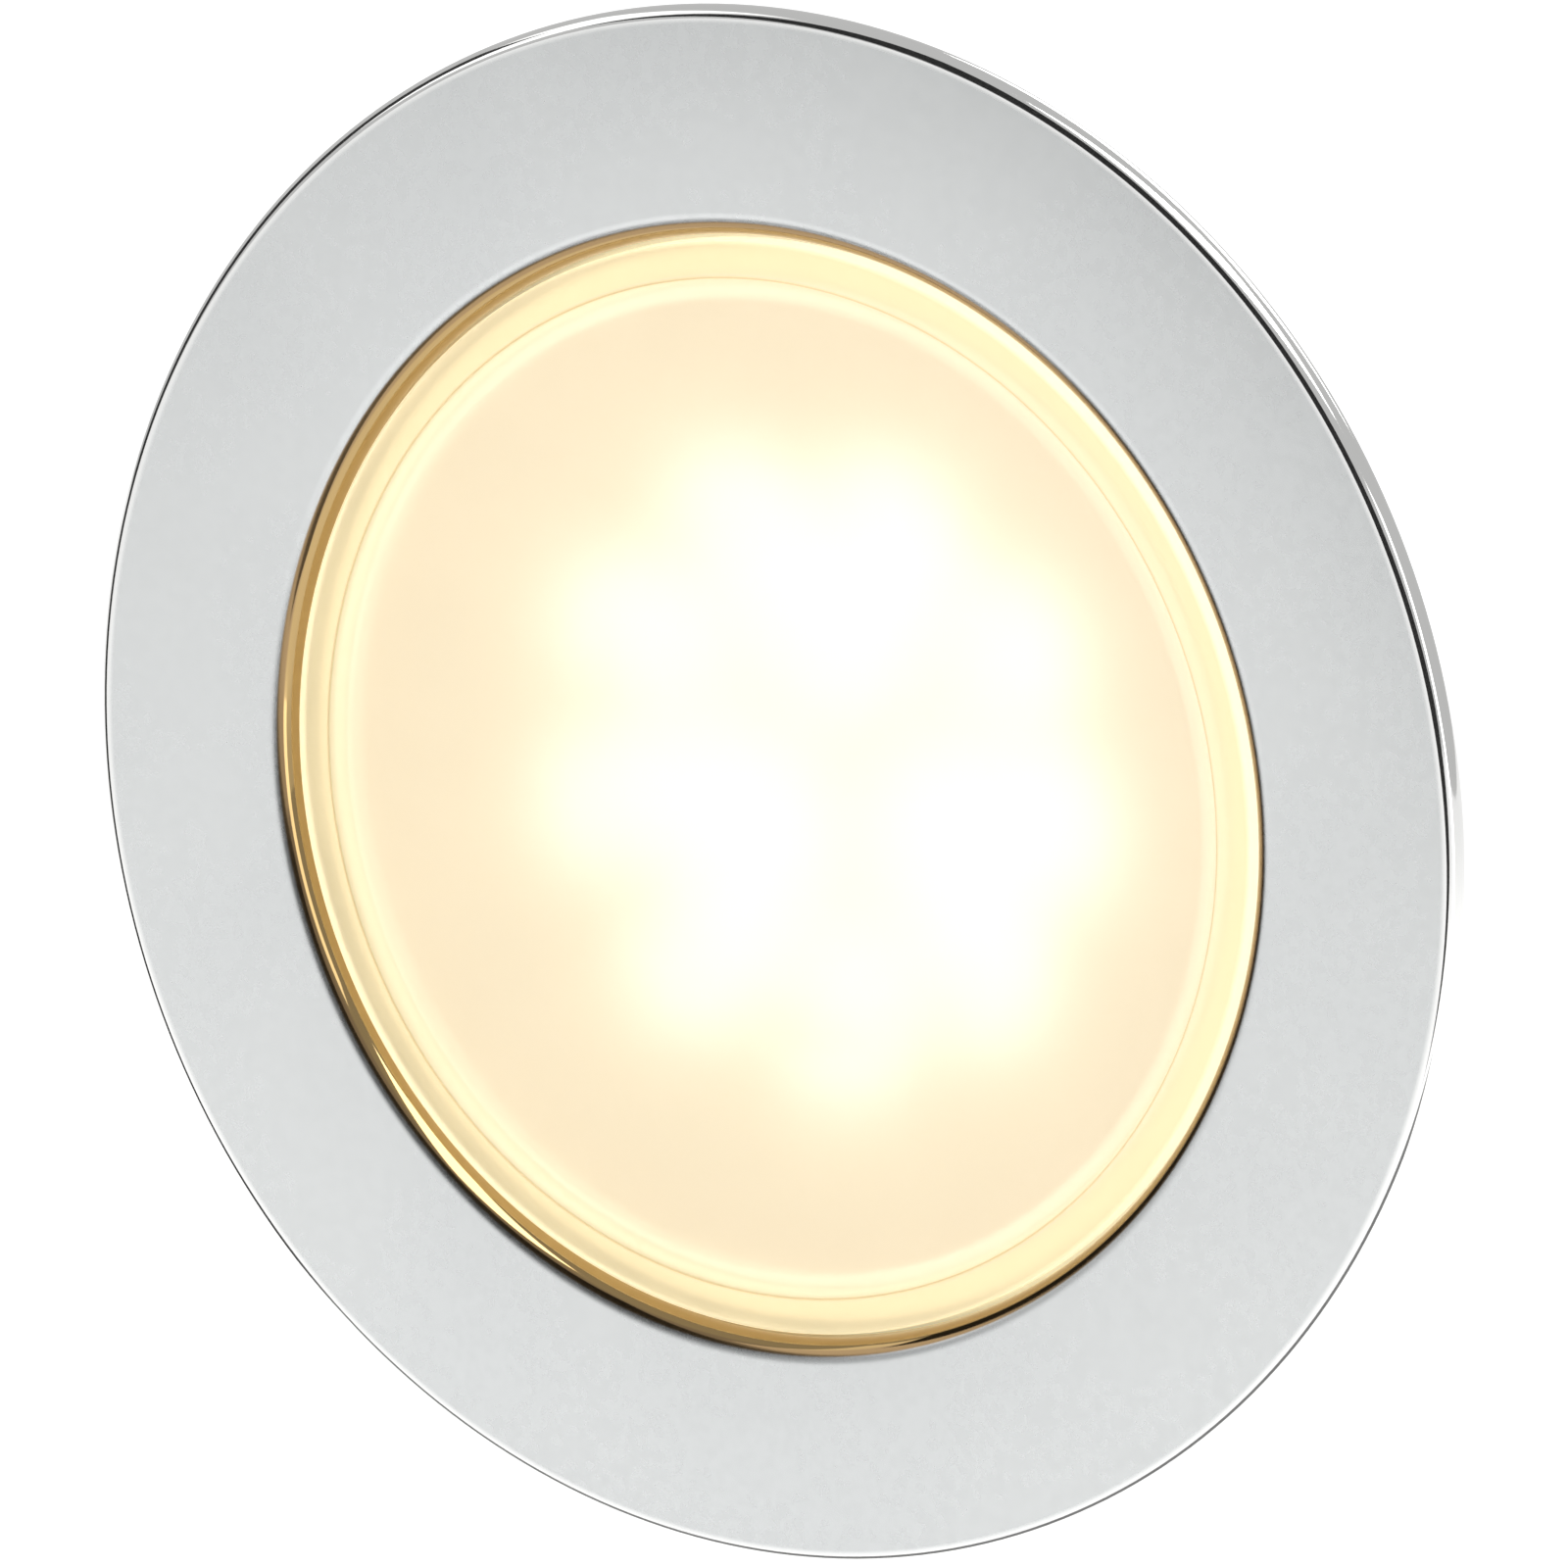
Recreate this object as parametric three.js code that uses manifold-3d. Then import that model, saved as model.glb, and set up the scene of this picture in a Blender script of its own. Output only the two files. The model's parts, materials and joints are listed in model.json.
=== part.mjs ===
// Recessed round LED lamp for a trailer or caravan panel.
// A stainless steel rim is crimped over the flange of a finned aluminium body. Behind the rim sit a
// frosted lens, its seal, a white reflector and a board with twelve LEDs and their driver. Two sprung
// wire clips fold back to pass the panel cut-out and then spring forward behind the panel.
//
// Millimetres, +Z up. The lamp faces -Y. The origin is the centre of the cut-out, in the plane of the
// panel's front face, which is also the back of the gasket.

import * as THREE from "three";
import { mergeVertices } from "three/addons/utils/BufferGeometryUtils.js";
import Module from "manifold-3d";

const wasm = await Module();
wasm.setup();

// ---- Driving dimensions ----

// Lens
const LENS_RADIUS = 33.3;
const LENS_THICKNESS = 2.0;
const LENS_DROP = 0.55; // from the rim's face back to the lens's outer band
const LENS_BAND_WIDTH = 2.25;
const LENS_DISH_DEPTH = 0.6;
const LENS_DISH_FILLET = 1.2;
const LENS_CHAMFER = 0.3;
const LENS_FLANGE_WIDTH = 2.3;
const LENS_FLANGE_THICKNESS = 1.0;

// Rim, pressed from sheet
const RIM_SHEET = 0.5;
const RIM_OVERHANG = 9.5; // beyond the edge of the panel cut-out
const RIM_EDGE_RADIUS = 0.8;
const RIM_LIP_RADIUS = 1.5;
const RIM_CRIMP = 0.55; // how far the turned end reaches inward past the sheet
const RIM_CRIMP_THICKNESS = 0.15; // the turned end is rolled thin
const RIM_CRIMP_GAP = 0.15; // along Y, from the flange's chamfer to the turned end

// Body, one casting
const COLLAR_WALL = 1.1;
const CUTOUT_CLEARANCE = 1.0;
const FLANGE_THICKNESS = 1.0;
const FLANGE_CHAMFER = 0.7; // at the back, where the rim grips
const BODY_WALL = 2.2;
const FLOOR_THICKNESS = 2.6;
const BODY_CHAMFER = 0.8;
const TAPER_HEIGHT = 2.8;
const FIN_HEIGHT = 2.8;
const FIN_THICKNESS = 1.4;
const FIN_COUNT = 7;
const FIN_MARGIN = 3.2; // from the ends of the fins to the edge of the body and to the grommet
const FIN_CLIP_GAP = 8.2; // from the clip's plate to the middle of the nearest fin
const FIN_BITE = 0.65; // how far the fins reach into the floor
const COLLAR_RISE = 0.25; // from the back of the collar to the chamber's shoulder inside it

// Gasket and lens seal
const GASKET_THICKNESS = 0.8;
const GASKET_INSET = 2.4; // from the rim's edge
const SEAL_SECTION_RADIUS = 0.6;
const SEAL_SHARE = 0.4; // of the way from the lens's edge to the pocket's wall, to the seal's middle

// Light box
const LIGHT_BOX_DEPTH = 8.35; // from the lens to the board
const REFLECTOR_WALL = 0.9;
const REFLECTOR_RIM_HEIGHT = 1.05;
const REFLECTOR_THROAT_GAP = 2.0; // from the outer LEDs' corners
const REFLECTOR_FOOT_WIDTH = 1.35; // of the cone's narrow end
const BOARD_THICKNESS = 1.6;
const PAD_THICKNESS = 0.5;
const PAD_INSET = 3.0;

// LEDs, on an outer and an inner ring
const LED_SIDE = 3.0;
const LED_BODY_HEIGHT = 0.9;
const LED_WINDOW_RADIUS = 1.2;
const LED_WINDOW_HEIGHT = 0.2;
const LED_INNER_RADIUS = 7.6;
const LED_NOTCH_GAP = 0.23; // from the outer ring's corners to the board's notch

// Driver
const DRIVER_INSET = 2.4; // from the board's edge to the middle of each part
const DRIVER_HEIGHT = 1.9; // of its tallest part
const CHIP_LEAD = { length: 1.0, width: 0.4, height: 0.25 };

// Shares of each part's own size
const CAPPED = { cap: 0.18, bodyHeight: 0.92, bodyWidth: 0.94 };
const DRUM = { base: 0.35, radius: 0.46, foot: 0.2 };
const TERMINAL_HOLE = { length: 0.26, height: 0.5, width: 0.5, side: 0.24, forward: 0.4 };

// Cable inlet
const INLET_RADIUS = 3.1; // the grommet's bore
const GROMMET_WALL = 0.9;
const GROMMET_LIP = 0.9;
const GROMMET_LIP_THICKNESS = 0.9;
const GROMMET_CHAMFER = 0.3;
const INLET_FROM_WALL = 0.45; // from the grommet's inner lip to the chamber wall

// Spring clips
const CLIP_SHEET = 0.8;
const CLIP_PIN_RADIUS = 0.9;
const CLIP_PIN_HEAD = 0.6;
const CLIP_WIRE_RADIUS = 0.7;
const CLIP_HINGE_DROP = 3.8; // from the body's back face forward to the pin
const CLIP_TIP_INSET = 4.1; // from the rim's edge
const CLIP_CORNER_RADIUS = 1.2;
const CLIP_EYE_TURN = 300; // degrees that each eye wraps round the pin
const CLIP_LEG_SHARE = 0.4; // of the arm's length, where the wire has straightened after the eye
const CLIP_SLEEVE_WALL = 0.45;
const CLIP_SLEEVE_GAP = 0.6; // from the end of the arm's corner to the sleeve
const CLIP_PLATE_LENGTH = 8.5;
const SPRING_WIRE_RADIUS = 0.4;
const SPRING_TURNS = 5;
const SPRING_PITCH = 0.88;
const SPRING_FIXED_LEG = 3.1;
const SPRING_MOVING_LEG = 5.0;
const SPRING_FIXED_SHARES = [1, 0.6, 0.25]; // of the fixed leg, from its end to the coil
const SPRING_MOVING_SHARES = [0.35, 0.7, 0.95]; // of the moving leg, from the coil to its hook
const SPRING_LEG_RISE = 0.2; // of the moving leg from the coil's tangent, where it leaves the coil

// Screws
const SCREW_RADIUS = 1.25;
const SCREW_HEAD_RADIUS = 2.2;
const SCREW_HEAD_HEIGHT = 1.4;
const SCREW_EDGE_SHARE = 0.4; // of the head's height, upright
const SCREW_CROWN_SHARES = [0.75, 0.85]; // of the head's radius and height, where its slope changes
const SCREW_SLOT_SHARES = [1.1, 0.45, 0.6]; // of the head's radius, the shank's radius and the head's height
const SCREW_HOLE_SHARE = 0.75; // of the floor's thickness, deep
const BOARD_SCREW_ANGLES = [90, 210, 330];
const BOARD_SCREW_INSET = 3.6; // from the board's edge
const CLIP_SCREW_GAP = 0.8; // between the two heads
const CLIP_SCREW_INSET = 3.0; // from the clip plate's inner end

// Clearances
const FIT = 0.3; // radial, between nested rings
const SEAT = 0.1; // axial, between faces that rest on each other
const PIN_FIT = 0.2;

// Facets, and how far a cutting tool runs past a face
const RING_SEGMENTS = 48;
const GROMMET_SEGMENTS = 20;
const HOLE_SEGMENTS = 12;
const WINDOW_SEGMENTS = 10;
const RIM_STEPS = { lip: 5, edge: 4, end: 3, insideEdge: 2, insideLip: 3 };
const FILLET_STEPS = 3;
const BOARD_STEPS = 24;
const EAR_STEPS = 5;
const WIRE_SIDES = 6;
const EYE_STEPS = 10;
const CORNER_STEPS = 4;
const COIL_STEPS = 10; // for each turn
const ARM_SECTIONS = 52;
const SPRING_SECTIONS = 64;
const WELD_DISTANCE = 1e-4;
const OVERCUT = 1;

// ---- Worked-out sizes ----

const apertureRadius = LENS_RADIUS + FIT;
const lensFlangeRadius = LENS_RADIUS + LENS_FLANGE_WIDTH;
const pocketRadius = lensFlangeRadius + FIT;
const collarRadius = pocketRadius + COLLAR_WALL;
const cutoutRadius = collarRadius + CUTOUT_CLEARANCE;
const rimRadius = cutoutRadius + RIM_OVERHANG;
const flangeRadius = rimRadius - RIM_SHEET - FIT / 2;

const eyeRadius = CLIP_PIN_RADIUS + PIN_FIT + CLIP_WIRE_RADIUS; // to the middle of the wire
const eyeOuterRadius = eyeRadius + CLIP_WIRE_RADIUS;
const clipSpace = FIT + CLIP_SHEET + FIT + 2 * eyeOuterRadius;
const bodyRadius = collarRadius - clipSpace;
const chamberRadius = bodyRadius - BODY_WALL;
const boardRadius = chamberRadius - 2 * FIT;

// Along Y, front to back
const flangeBackY = -GASKET_THICKNESS;
const flangeFrontY = flangeBackY - FLANGE_THICKNESS;
const rimInnerY = flangeFrontY - SEAT / 2;
const rimFaceY = rimInnerY - RIM_SHEET;
const lensBandY = rimFaceY + LENS_DROP;
const lensDiscY = lensBandY + LENS_DISH_DEPTH;
const lensBackY = lensDiscY + LENS_THICKNESS;
const lensFlangeY = lensBackY - LENS_FLANGE_THICKNESS;
const shelfY = lensBackY + SEAT / 2;
const boardY = lensBackY + LIGHT_BOX_DEPTH;
const floorY = boardY + BOARD_THICKNESS + PAD_THICKNESS;
const backY = floorY + FLOOR_THICKNESS;

// The rim's turned end lies along the flange's back chamfer.
const crimpRadius = rimRadius - RIM_SHEET - RIM_CRIMP;
const crimpY = flangeBackY - FLANGE_CHAMFER + (flangeRadius - crimpRadius) + RIM_CRIMP_GAP;
const rimEndY = crimpY + RIM_CRIMP_THICKNESS;
const flangeFrontChamfer = RIM_EDGE_RADIUS - RIM_SHEET;

const sealRadius = LENS_RADIUS + (pocketRadius - LENS_RADIUS) * SEAL_SHARE;
const grooveHalfWidth = SEAL_SECTION_RADIUS + SEAT;
const shelfInnerRadius = sealRadius - grooveHalfWidth - SEAL_SECTION_RADIUS;
const reflectorRadius = shelfInnerRadius - FIT;

const hingeRadius = bodyRadius + FIT + CLIP_SHEET + FIT + eyeOuterRadius;
const hingeY = backY - CLIP_HINGE_DROP;
const coilHalfLength = (SPRING_TURNS * SPRING_PITCH) / 2 + SPRING_WIRE_RADIUS;
const eyeOffset = coilHalfLength + FIT + CLIP_WIRE_RADIUS;
const earInnerOffset = eyeOffset + CLIP_WIRE_RADIUS + FIT;
const earOuterOffset = earInnerOffset + CLIP_SHEET;
const sleeveRadius = CLIP_WIRE_RADIUS + SEAT + CLIP_SLEEVE_WALL;
const coilRadius = CLIP_PIN_RADIUS + PIN_FIT + SPRING_WIRE_RADIUS;

const neckRadius = INLET_RADIUS + GROMMET_WALL;
const inletZ = -(chamberRadius - INLET_FROM_WALL - neckRadius - GROMMET_LIP);

const notchHalfWidth = neckRadius + GROMMET_LIP + FIT;
const ledCorner = LED_SIDE * Math.SQRT1_2;
const ledOuterRadius = -inletZ - notchHalfWidth - ledCorner - LED_NOTCH_GAP;

// ---- Materials ----

const paint = (color, roughness, metalness = 0) =>
  new THREE.MeshStandardMaterial({ color, roughness, metalness });

const MATERIALS = {
  stainless: paint(0xd8dada, 0.18, 1),
  casting: paint(0xb9bcbe, 0.5, 1),
  springSteel: paint(0x9a9c9e, 0.3, 1),
  bracketSteel: paint(0xc4c6c8, 0.35, 1),
  lens: paint(0xfdf0cf, 0.4),
  whitePlastic: paint(0xf4f4f0, 0.5),
  rubber: paint(0x1c1c1c, 0.9),
  solderMask: paint(0xf2f2ee, 0.45),
  padGrey: paint(0x8c9096, 0.8),
  phosphor: paint(0xf7d774, 0.5),
  chipBlack: paint(0x202124, 0.5),
  ceramic: paint(0xb59a78, 0.5),
  ferrite: paint(0x3a3a3c, 0.6),
  sleeve: paint(0xd2d6d8, 0.3),
};

// ---- Helpers ----

const degrees = THREE.MathUtils.degToRad;

// The solid of a closed geometry, for joining and cutting.
function toSolid(geometry) {
  const bare = new THREE.BufferGeometry();
  const flat = geometry.index ? geometry.toNonIndexed() : geometry;
  bare.setAttribute("position", flat.getAttribute("position"));
  const merged = mergeVertices(bare, WELD_DISTANCE);
  const mesh = new wasm.Mesh({
    numProp: 3,
    vertProperties: merged.attributes.position.array,
    triVerts: new Uint32Array(merged.index.array),
  });
  return new wasm.Manifold(mesh);
}

function toGeometry(solid) {
  const { vertProperties, triVerts } = solid.getMesh();
  return new THREE.BufferGeometry()
    .setAttribute("position", new THREE.BufferAttribute(vertProperties, 3))
    .setIndex(new THREE.BufferAttribute(triVerts, 1));
}

const join = (...geometries) =>
  toGeometry(geometries.map(toSolid).reduce((a, b) => a.add(b)));

const cut = (geometry, ...tools) =>
  toGeometry(tools.map(toSolid).reduce((a, b) => a.subtract(b), toSolid(geometry)));

// Points on an arc about (x, y), from one angle to another in degrees.
function arc(x, y, radius, from, to, steps) {
  return Array.from({ length: steps + 1 }, (_, i) => {
    const angle = degrees(from + ((to - from) * i) / steps);
    return [x + radius * Math.cos(angle), y + radius * Math.sin(angle)];
  });
}

// A ring or disc about Y. The outline is [radius, y] points: it starts and ends on the axis, or it is a
// loop that doesn't touch the axis, given once round with no repeated end.
function turned(outline, segments = RING_SEGMENTS) {
  const onAxis = outline[0][0] === 0;
  const loop = onAxis ? outline : [...outline, outline[0]];
  const twiceArea = outline.reduce((sum, [x, y], i) => {
    const [nextX, nextY] = outline[(i + 1) % outline.length];
    return sum + x * nextY - nextX * y;
  }, 0);
  const points = loop.map(([x, y]) => new THREE.Vector2(x, y));
  if (twiceArea < 0) points.reverse();
  return new THREE.LatheGeometry(points, segments);
}

// A rod about Y, from one y to another.
function rod(radius, fromY, toY, segments = HOLE_SEGMENTS) {
  const outline = [[0, fromY], [radius, fromY], [radius, toY], [0, toY]];
  return turned(outline, segments);
}

const box = (sizeX, sizeY, sizeZ, x = 0, y = 0, z = 0) =>
  new THREE.BoxGeometry(sizeX, sizeY, sizeZ).translate(x, y, z);

// A flat shape drawn in X and Z, given thickness from y = 0 to y = thickness.
const slab = (shape, thickness) =>
  new THREE.ExtrudeGeometry(shape, { depth: thickness, bevelEnabled: false, curveSegments: BOARD_STEPS })
    .rotateX(Math.PI / 2)
    .translate(0, thickness, 0);

const wireSection = (x, y, radius) => arc(x, y, radius, 0, 360 - 360 / WIRE_SIDES, WIRE_SIDES - 1);

// Wire of a given radius along a curve.
function wire(curve, radius, steps) {
  const section = new THREE.Shape();
  section.setFromPoints(wireSection(0, 0, radius).map(([x, y]) => new THREE.Vector2(x, y)));
  return new THREE.ExtrudeGeometry(section, { steps, bevelEnabled: false, extrudePath: curve });
}

const around = (radius, angle) => [
  radius * Math.cos(degrees(angle)),
  radius * Math.sin(degrees(angle)),
];

const lamp = new THREE.Group();

function place(parent, name, geometry, material, x = 0, y = 0, z = 0, turnY = 0) {
  const mesh = new THREE.Mesh(geometry, material);
  mesh.name = name;
  mesh.position.set(x, y, z);
  mesh.rotation.y = turnY;
  parent.add(mesh);
  return mesh;
}

// ---- Rim, lens and seals ----

// Pressed rim: an inner lip turned back beside the lens, a flat face, a rounded edge, and a turned-in
// end that grips the flange's chamfer.
function rimGeometry() {
  const wallEndY = lensFlangeY - SEAT;
  const lipX = apertureRadius + RIM_LIP_RADIUS;
  const lipY = rimFaceY + RIM_LIP_RADIUS;
  const edgeX = rimRadius - RIM_EDGE_RADIUS;
  const edgeY = rimFaceY + RIM_EDGE_RADIUS;
  const endRadius = rimEndY - edgeY;
  return turned([
    [apertureRadius, wallEndY],
    ...arc(lipX, lipY, RIM_LIP_RADIUS, 180, 270, RIM_STEPS.lip),
    ...arc(edgeX, edgeY, RIM_EDGE_RADIUS, -90, 0, RIM_STEPS.edge),
    ...arc(rimRadius - endRadius, rimEndY - endRadius, endRadius, 0, 90, RIM_STEPS.end).slice(1),
    [crimpRadius, rimEndY],
    [crimpRadius, crimpY],
    [rimRadius - RIM_SHEET, Math.max(crimpY - RIM_CRIMP, edgeY + SEAT)],
    ...arc(edgeX, edgeY, RIM_EDGE_RADIUS - RIM_SHEET, 0, -90, RIM_STEPS.insideEdge),
    ...arc(lipX, lipY, RIM_LIP_RADIUS - RIM_SHEET, 270, 180, RIM_STEPS.insideLip),
    [apertureRadius + RIM_SHEET, wallEndY],
  ]);
}

// Frosted lens: a dished centre, a flat outer band and a flange that the rim's lip holds down.
function lensGeometry() {
  const dishRadius = LENS_RADIUS - LENS_BAND_WIDTH;
  const sweep = Math.acos(1 - LENS_DISH_DEPTH / LENS_DISH_FILLET);
  const filletX = dishRadius - LENS_DISH_FILLET * Math.sin(sweep);
  const filletY = lensDiscY - LENS_DISH_FILLET;
  const topAngle = 90 - THREE.MathUtils.radToDeg(sweep);
  return turned([
    [0, lensDiscY],
    ...arc(filletX, filletY, LENS_DISH_FILLET, 90, topAngle, FILLET_STEPS),
    [LENS_RADIUS - LENS_CHAMFER, lensBandY],
    [LENS_RADIUS, lensBandY + LENS_CHAMFER],
    [LENS_RADIUS, lensFlangeY],
    [lensFlangeRadius, lensFlangeY],
    [lensFlangeRadius, lensBackY],
    [0, lensBackY],
  ]);
}

const sealGeometry = () =>
  turned(wireSection(sealRadius, lensBackY + SEAL_SECTION_RADIUS + SEAT, SEAL_SECTION_RADIUS));

function gasketGeometry() {
  const inner = collarRadius + FIT;
  const outer = rimRadius - GASKET_INSET;
  const front = flangeBackY + SEAT / 2;
  return turned([[inner, front], [outer, front], [outer, 0], [inner, 0]]);
}

// ---- Body ----

// The reflector's outer cone, which the body's shoulder follows with a gap.
const coneTopY = lensBackY + SEAT + REFLECTOR_RIM_HEIGHT;
const throatRadius = ledOuterRadius + ledCorner + REFLECTOR_THROAT_GAP;
const throatOuterRadius = throatRadius + REFLECTOR_FOOT_WIDTH;
const coneEndY = boardY - DRIVER_HEIGHT - FIT;
const coneSlope = (coneEndY - coneTopY) / (reflectorRadius - throatOuterRadius);
const coneY = (radius) => coneTopY + (reflectorRadius - radius) * coneSlope;

const shoulderY = coneY(chamberRadius) + FIT;
const collarEndY = shoulderY - COLLAR_RISE;
const bodyTopY = collarEndY + TAPER_HEIGHT;

function bodyShell() {
  const grooveY = lensBackY + 2 * SEAL_SECTION_RADIUS + 2 * SEAT;
  return turned([
    [0, floorY],
    [chamberRadius, floorY],
    [chamberRadius, shoulderY],
    [shelfInnerRadius, coneTopY + FIT],
    [shelfInnerRadius, shelfY],
    [sealRadius - grooveHalfWidth, shelfY],
    [sealRadius - grooveHalfWidth, grooveY],
    [sealRadius + grooveHalfWidth, grooveY],
    [sealRadius + grooveHalfWidth, shelfY],
    [pocketRadius, shelfY],
    [pocketRadius, flangeFrontY],
    [flangeRadius - flangeFrontChamfer, flangeFrontY],
    [flangeRadius, flangeFrontY + flangeFrontChamfer],
    [flangeRadius, flangeBackY - FLANGE_CHAMFER],
    [flangeRadius - FLANGE_CHAMFER, flangeBackY],
    [collarRadius, flangeBackY],
    [collarRadius, collarEndY],
    [bodyRadius, bodyTopY],
    [bodyRadius, backY - BODY_CHAMFER],
    [bodyRadius - BODY_CHAMFER, backY],
    [0, backY],
  ]);
}

// Upright cooling fins on the back. They stop short of the cable inlet at the bottom.
function fins() {
  const bottomZ = inletZ + neckRadius + GROMMET_LIP + FIN_MARGIN;
  const span = 2 * (clipPlateEnd - CLIP_PLATE_LENGTH - FIN_CLIP_GAP);
  return Array.from({ length: FIN_COUNT }, (_, i) => {
    const x = (i / (FIN_COUNT - 1) - 0.5) * span;
    const topZ = Math.sqrt((bodyRadius - FIN_MARGIN) ** 2 - x ** 2);
    const y = backY + (FIN_HEIGHT - FIN_BITE) / 2;
    return box(FIN_THICKNESS, FIN_HEIGHT + FIN_BITE, topZ - bottomZ, x, y, (topZ + bottomZ) / 2);
  });
}

const boardScrewRadius = boardRadius - BOARD_SCREW_INSET;
const boardScrewPlaces = BOARD_SCREW_ANGLES.map((angle) => around(boardScrewRadius, angle));
const clipPlateEnd = bodyRadius + FIT + CLIP_SHEET;
const clipScrewX = clipPlateEnd - CLIP_PLATE_LENGTH + CLIP_SCREW_INSET;
const clipScrewSpacing = 2 * SCREW_HEAD_RADIUS + CLIP_SCREW_GAP;
const clipScrewPlaces = [-1, 1].flatMap((side) =>
  [-0.5, 0.5].map((end) => [side * clipScrewX, end * clipScrewSpacing]),
);
const screwBite = FLOOR_THICKNESS * SCREW_HOLE_SHARE;

function bodyGeometry() {
  const holeRadius = SCREW_RADIUS + SEAT;
  const inlet = rod(neckRadius + SEAT, floorY - OVERCUT, backY + OVERCUT, GROMMET_SEGMENTS)
    .translate(0, 0, inletZ);
  const clipHoles = clipScrewPlaces.map(([x, z]) =>
    rod(holeRadius, backY - screwBite, backY + OVERCUT).translate(x, 0, z),
  );
  const boardHoles = boardScrewPlaces.map(([x, z]) =>
    rod(holeRadius, floorY - OVERCUT, floorY + screwBite).translate(x, 0, z),
  );
  return cut(join(bodyShell(), ...fins()), inlet, ...clipHoles, ...boardHoles);
}

// A rubber grommet with a lip on each side of the floor and an open bore for the cable.
function grommetGeometry() {
  const lipRadius = neckRadius + GROMMET_LIP;
  const front = floorY - SEAT - GROMMET_LIP_THICKNESS;
  const rear = backY + SEAT + GROMMET_LIP_THICKNESS;
  return turned(
    [
      [INLET_RADIUS, front],
      [lipRadius - GROMMET_CHAMFER, front],
      [lipRadius, front + GROMMET_CHAMFER],
      [lipRadius, floorY - SEAT],
      [neckRadius, floorY - SEAT],
      [neckRadius, backY + SEAT],
      [lipRadius, backY + SEAT],
      [lipRadius, rear - GROMMET_CHAMFER],
      [lipRadius - GROMMET_CHAMFER, rear],
      [INLET_RADIUS, rear],
    ],
    GROMMET_SEGMENTS,
  );
}

// ---- Light box ----

function reflectorGeometry() {
  const rimY = lensBackY + SEAT;
  const mouthRadius = reflectorRadius - REFLECTOR_WALL;
  return turned([
    [mouthRadius, rimY],
    [reflectorRadius, rimY],
    [reflectorRadius, coneTopY],
    [throatOuterRadius, coneEndY],
    [throatRadius, coneEndY],
  ]);
}

// A round board or pad with a notch at the bottom for the cable inlet and holes for the board screws.
function boardLayer(radius, thickness) {
  const notchTop = inletZ + notchHalfWidth;
  const side = Math.atan2(-Math.sqrt(radius ** 2 - notchHalfWidth ** 2), notchHalfWidth);
  const shape = new THREE.Shape();
  shape.absarc(0, 0, radius, side, Math.PI - side, false);
  shape.lineTo(-notchHalfWidth, notchTop);
  shape.lineTo(notchHalfWidth, notchTop);
  shape.closePath();
  const holes = boardScrewPlaces.map(([x, z]) =>
    rod(SCREW_RADIUS + PIN_FIT, -OVERCUT, thickness + OVERCUT).translate(x, 0, z),
  );
  return cut(slab(shape, thickness), ...holes);
}

// Each ring's number of LEDs, its radius and the angle of its first LED.
const LED_RINGS = [
  { count: 9, radius: ledOuterRadius, firstAngle: 34 },
  { count: 3, radius: LED_INNER_RADIUS, firstAngle: 94 },
];

// An LED package: a square body with a round phosphor window. It faces -Y from y = 0.
const ledGeometry = () =>
  join(
    box(LED_SIDE, LED_BODY_HEIGHT, LED_SIDE, 0, -LED_BODY_HEIGHT / 2, 0),
    rod(LED_WINDOW_RADIUS, -LED_BODY_HEIGHT - LED_WINDOW_HEIGHT, -LED_BODY_HEIGHT / 2, WINDOW_SEGMENTS),
  );

// A pan-head screw with a crossed recess. The head's seat is y = 0 and the shank runs to -y.
function screwGeometry(shankLength) {
  const [lengthShare, widthShare, depthShare] = SCREW_SLOT_SHARES;
  const slotLength = SCREW_HEAD_RADIUS * lengthShare;
  const slotWidth = SCREW_RADIUS * widthShare;
  const slotDepth = SCREW_HEAD_HEIGHT * depthShare;
  const [crownRadius, crownHeight] = SCREW_CROWN_SHARES;
  const screw = turned(
    [
      [0, -shankLength],
      [SCREW_RADIUS, -shankLength],
      [SCREW_RADIUS, 0],
      [SCREW_HEAD_RADIUS, 0],
      [SCREW_HEAD_RADIUS, SCREW_HEAD_HEIGHT * SCREW_EDGE_SHARE],
      [SCREW_HEAD_RADIUS * crownRadius, SCREW_HEAD_HEIGHT * crownHeight],
      [0, SCREW_HEAD_HEIGHT],
    ],
    HOLE_SEGMENTS,
  );
  return cut(
    screw,
    box(slotLength, 2 * slotDepth, slotWidth, 0, SCREW_HEAD_HEIGHT, 0),
    box(slotWidth, 2 * slotDepth, slotLength, 0, SCREW_HEAD_HEIGHT, 0),
  );
}

// ---- Driver parts, each standing on y = 0 and facing -Y ----

// A moulded chip with leads along its two long sides.
function chipGeometry(length, width, height, leadsPerSide) {
  const leadThickness = CHIP_LEAD.height + SEAT;
  const body = box(length, height - CHIP_LEAD.height, width, 0, -(height + CHIP_LEAD.height) / 2, 0);
  const leads = [-1, 1].flatMap((side) =>
    Array.from({ length: leadsPerSide }, (_, i) => {
      const x = ((i + 0.5) / leadsPerSide - 0.5) * length;
      return box(CHIP_LEAD.width, leadThickness, CHIP_LEAD.length, x, -leadThickness / 2, side * (width / 2));
    }),
  );
  return join(body, ...leads);
}

// A two-terminal part, such as a capacitor or resistor, with raised end caps.
function cappedGeometry(length, width, height) {
  const capLength = length * CAPPED.cap;
  const bodyHeight = height * CAPPED.bodyHeight;
  const body = box(length, bodyHeight, width * CAPPED.bodyWidth, 0, -bodyHeight / 2, 0);
  const caps = [-1, 1].map((end) =>
    box(capLength, height, width, (end * (length - capLength)) / 2, -height / 2, 0),
  );
  return join(body, ...caps);
}

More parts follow.
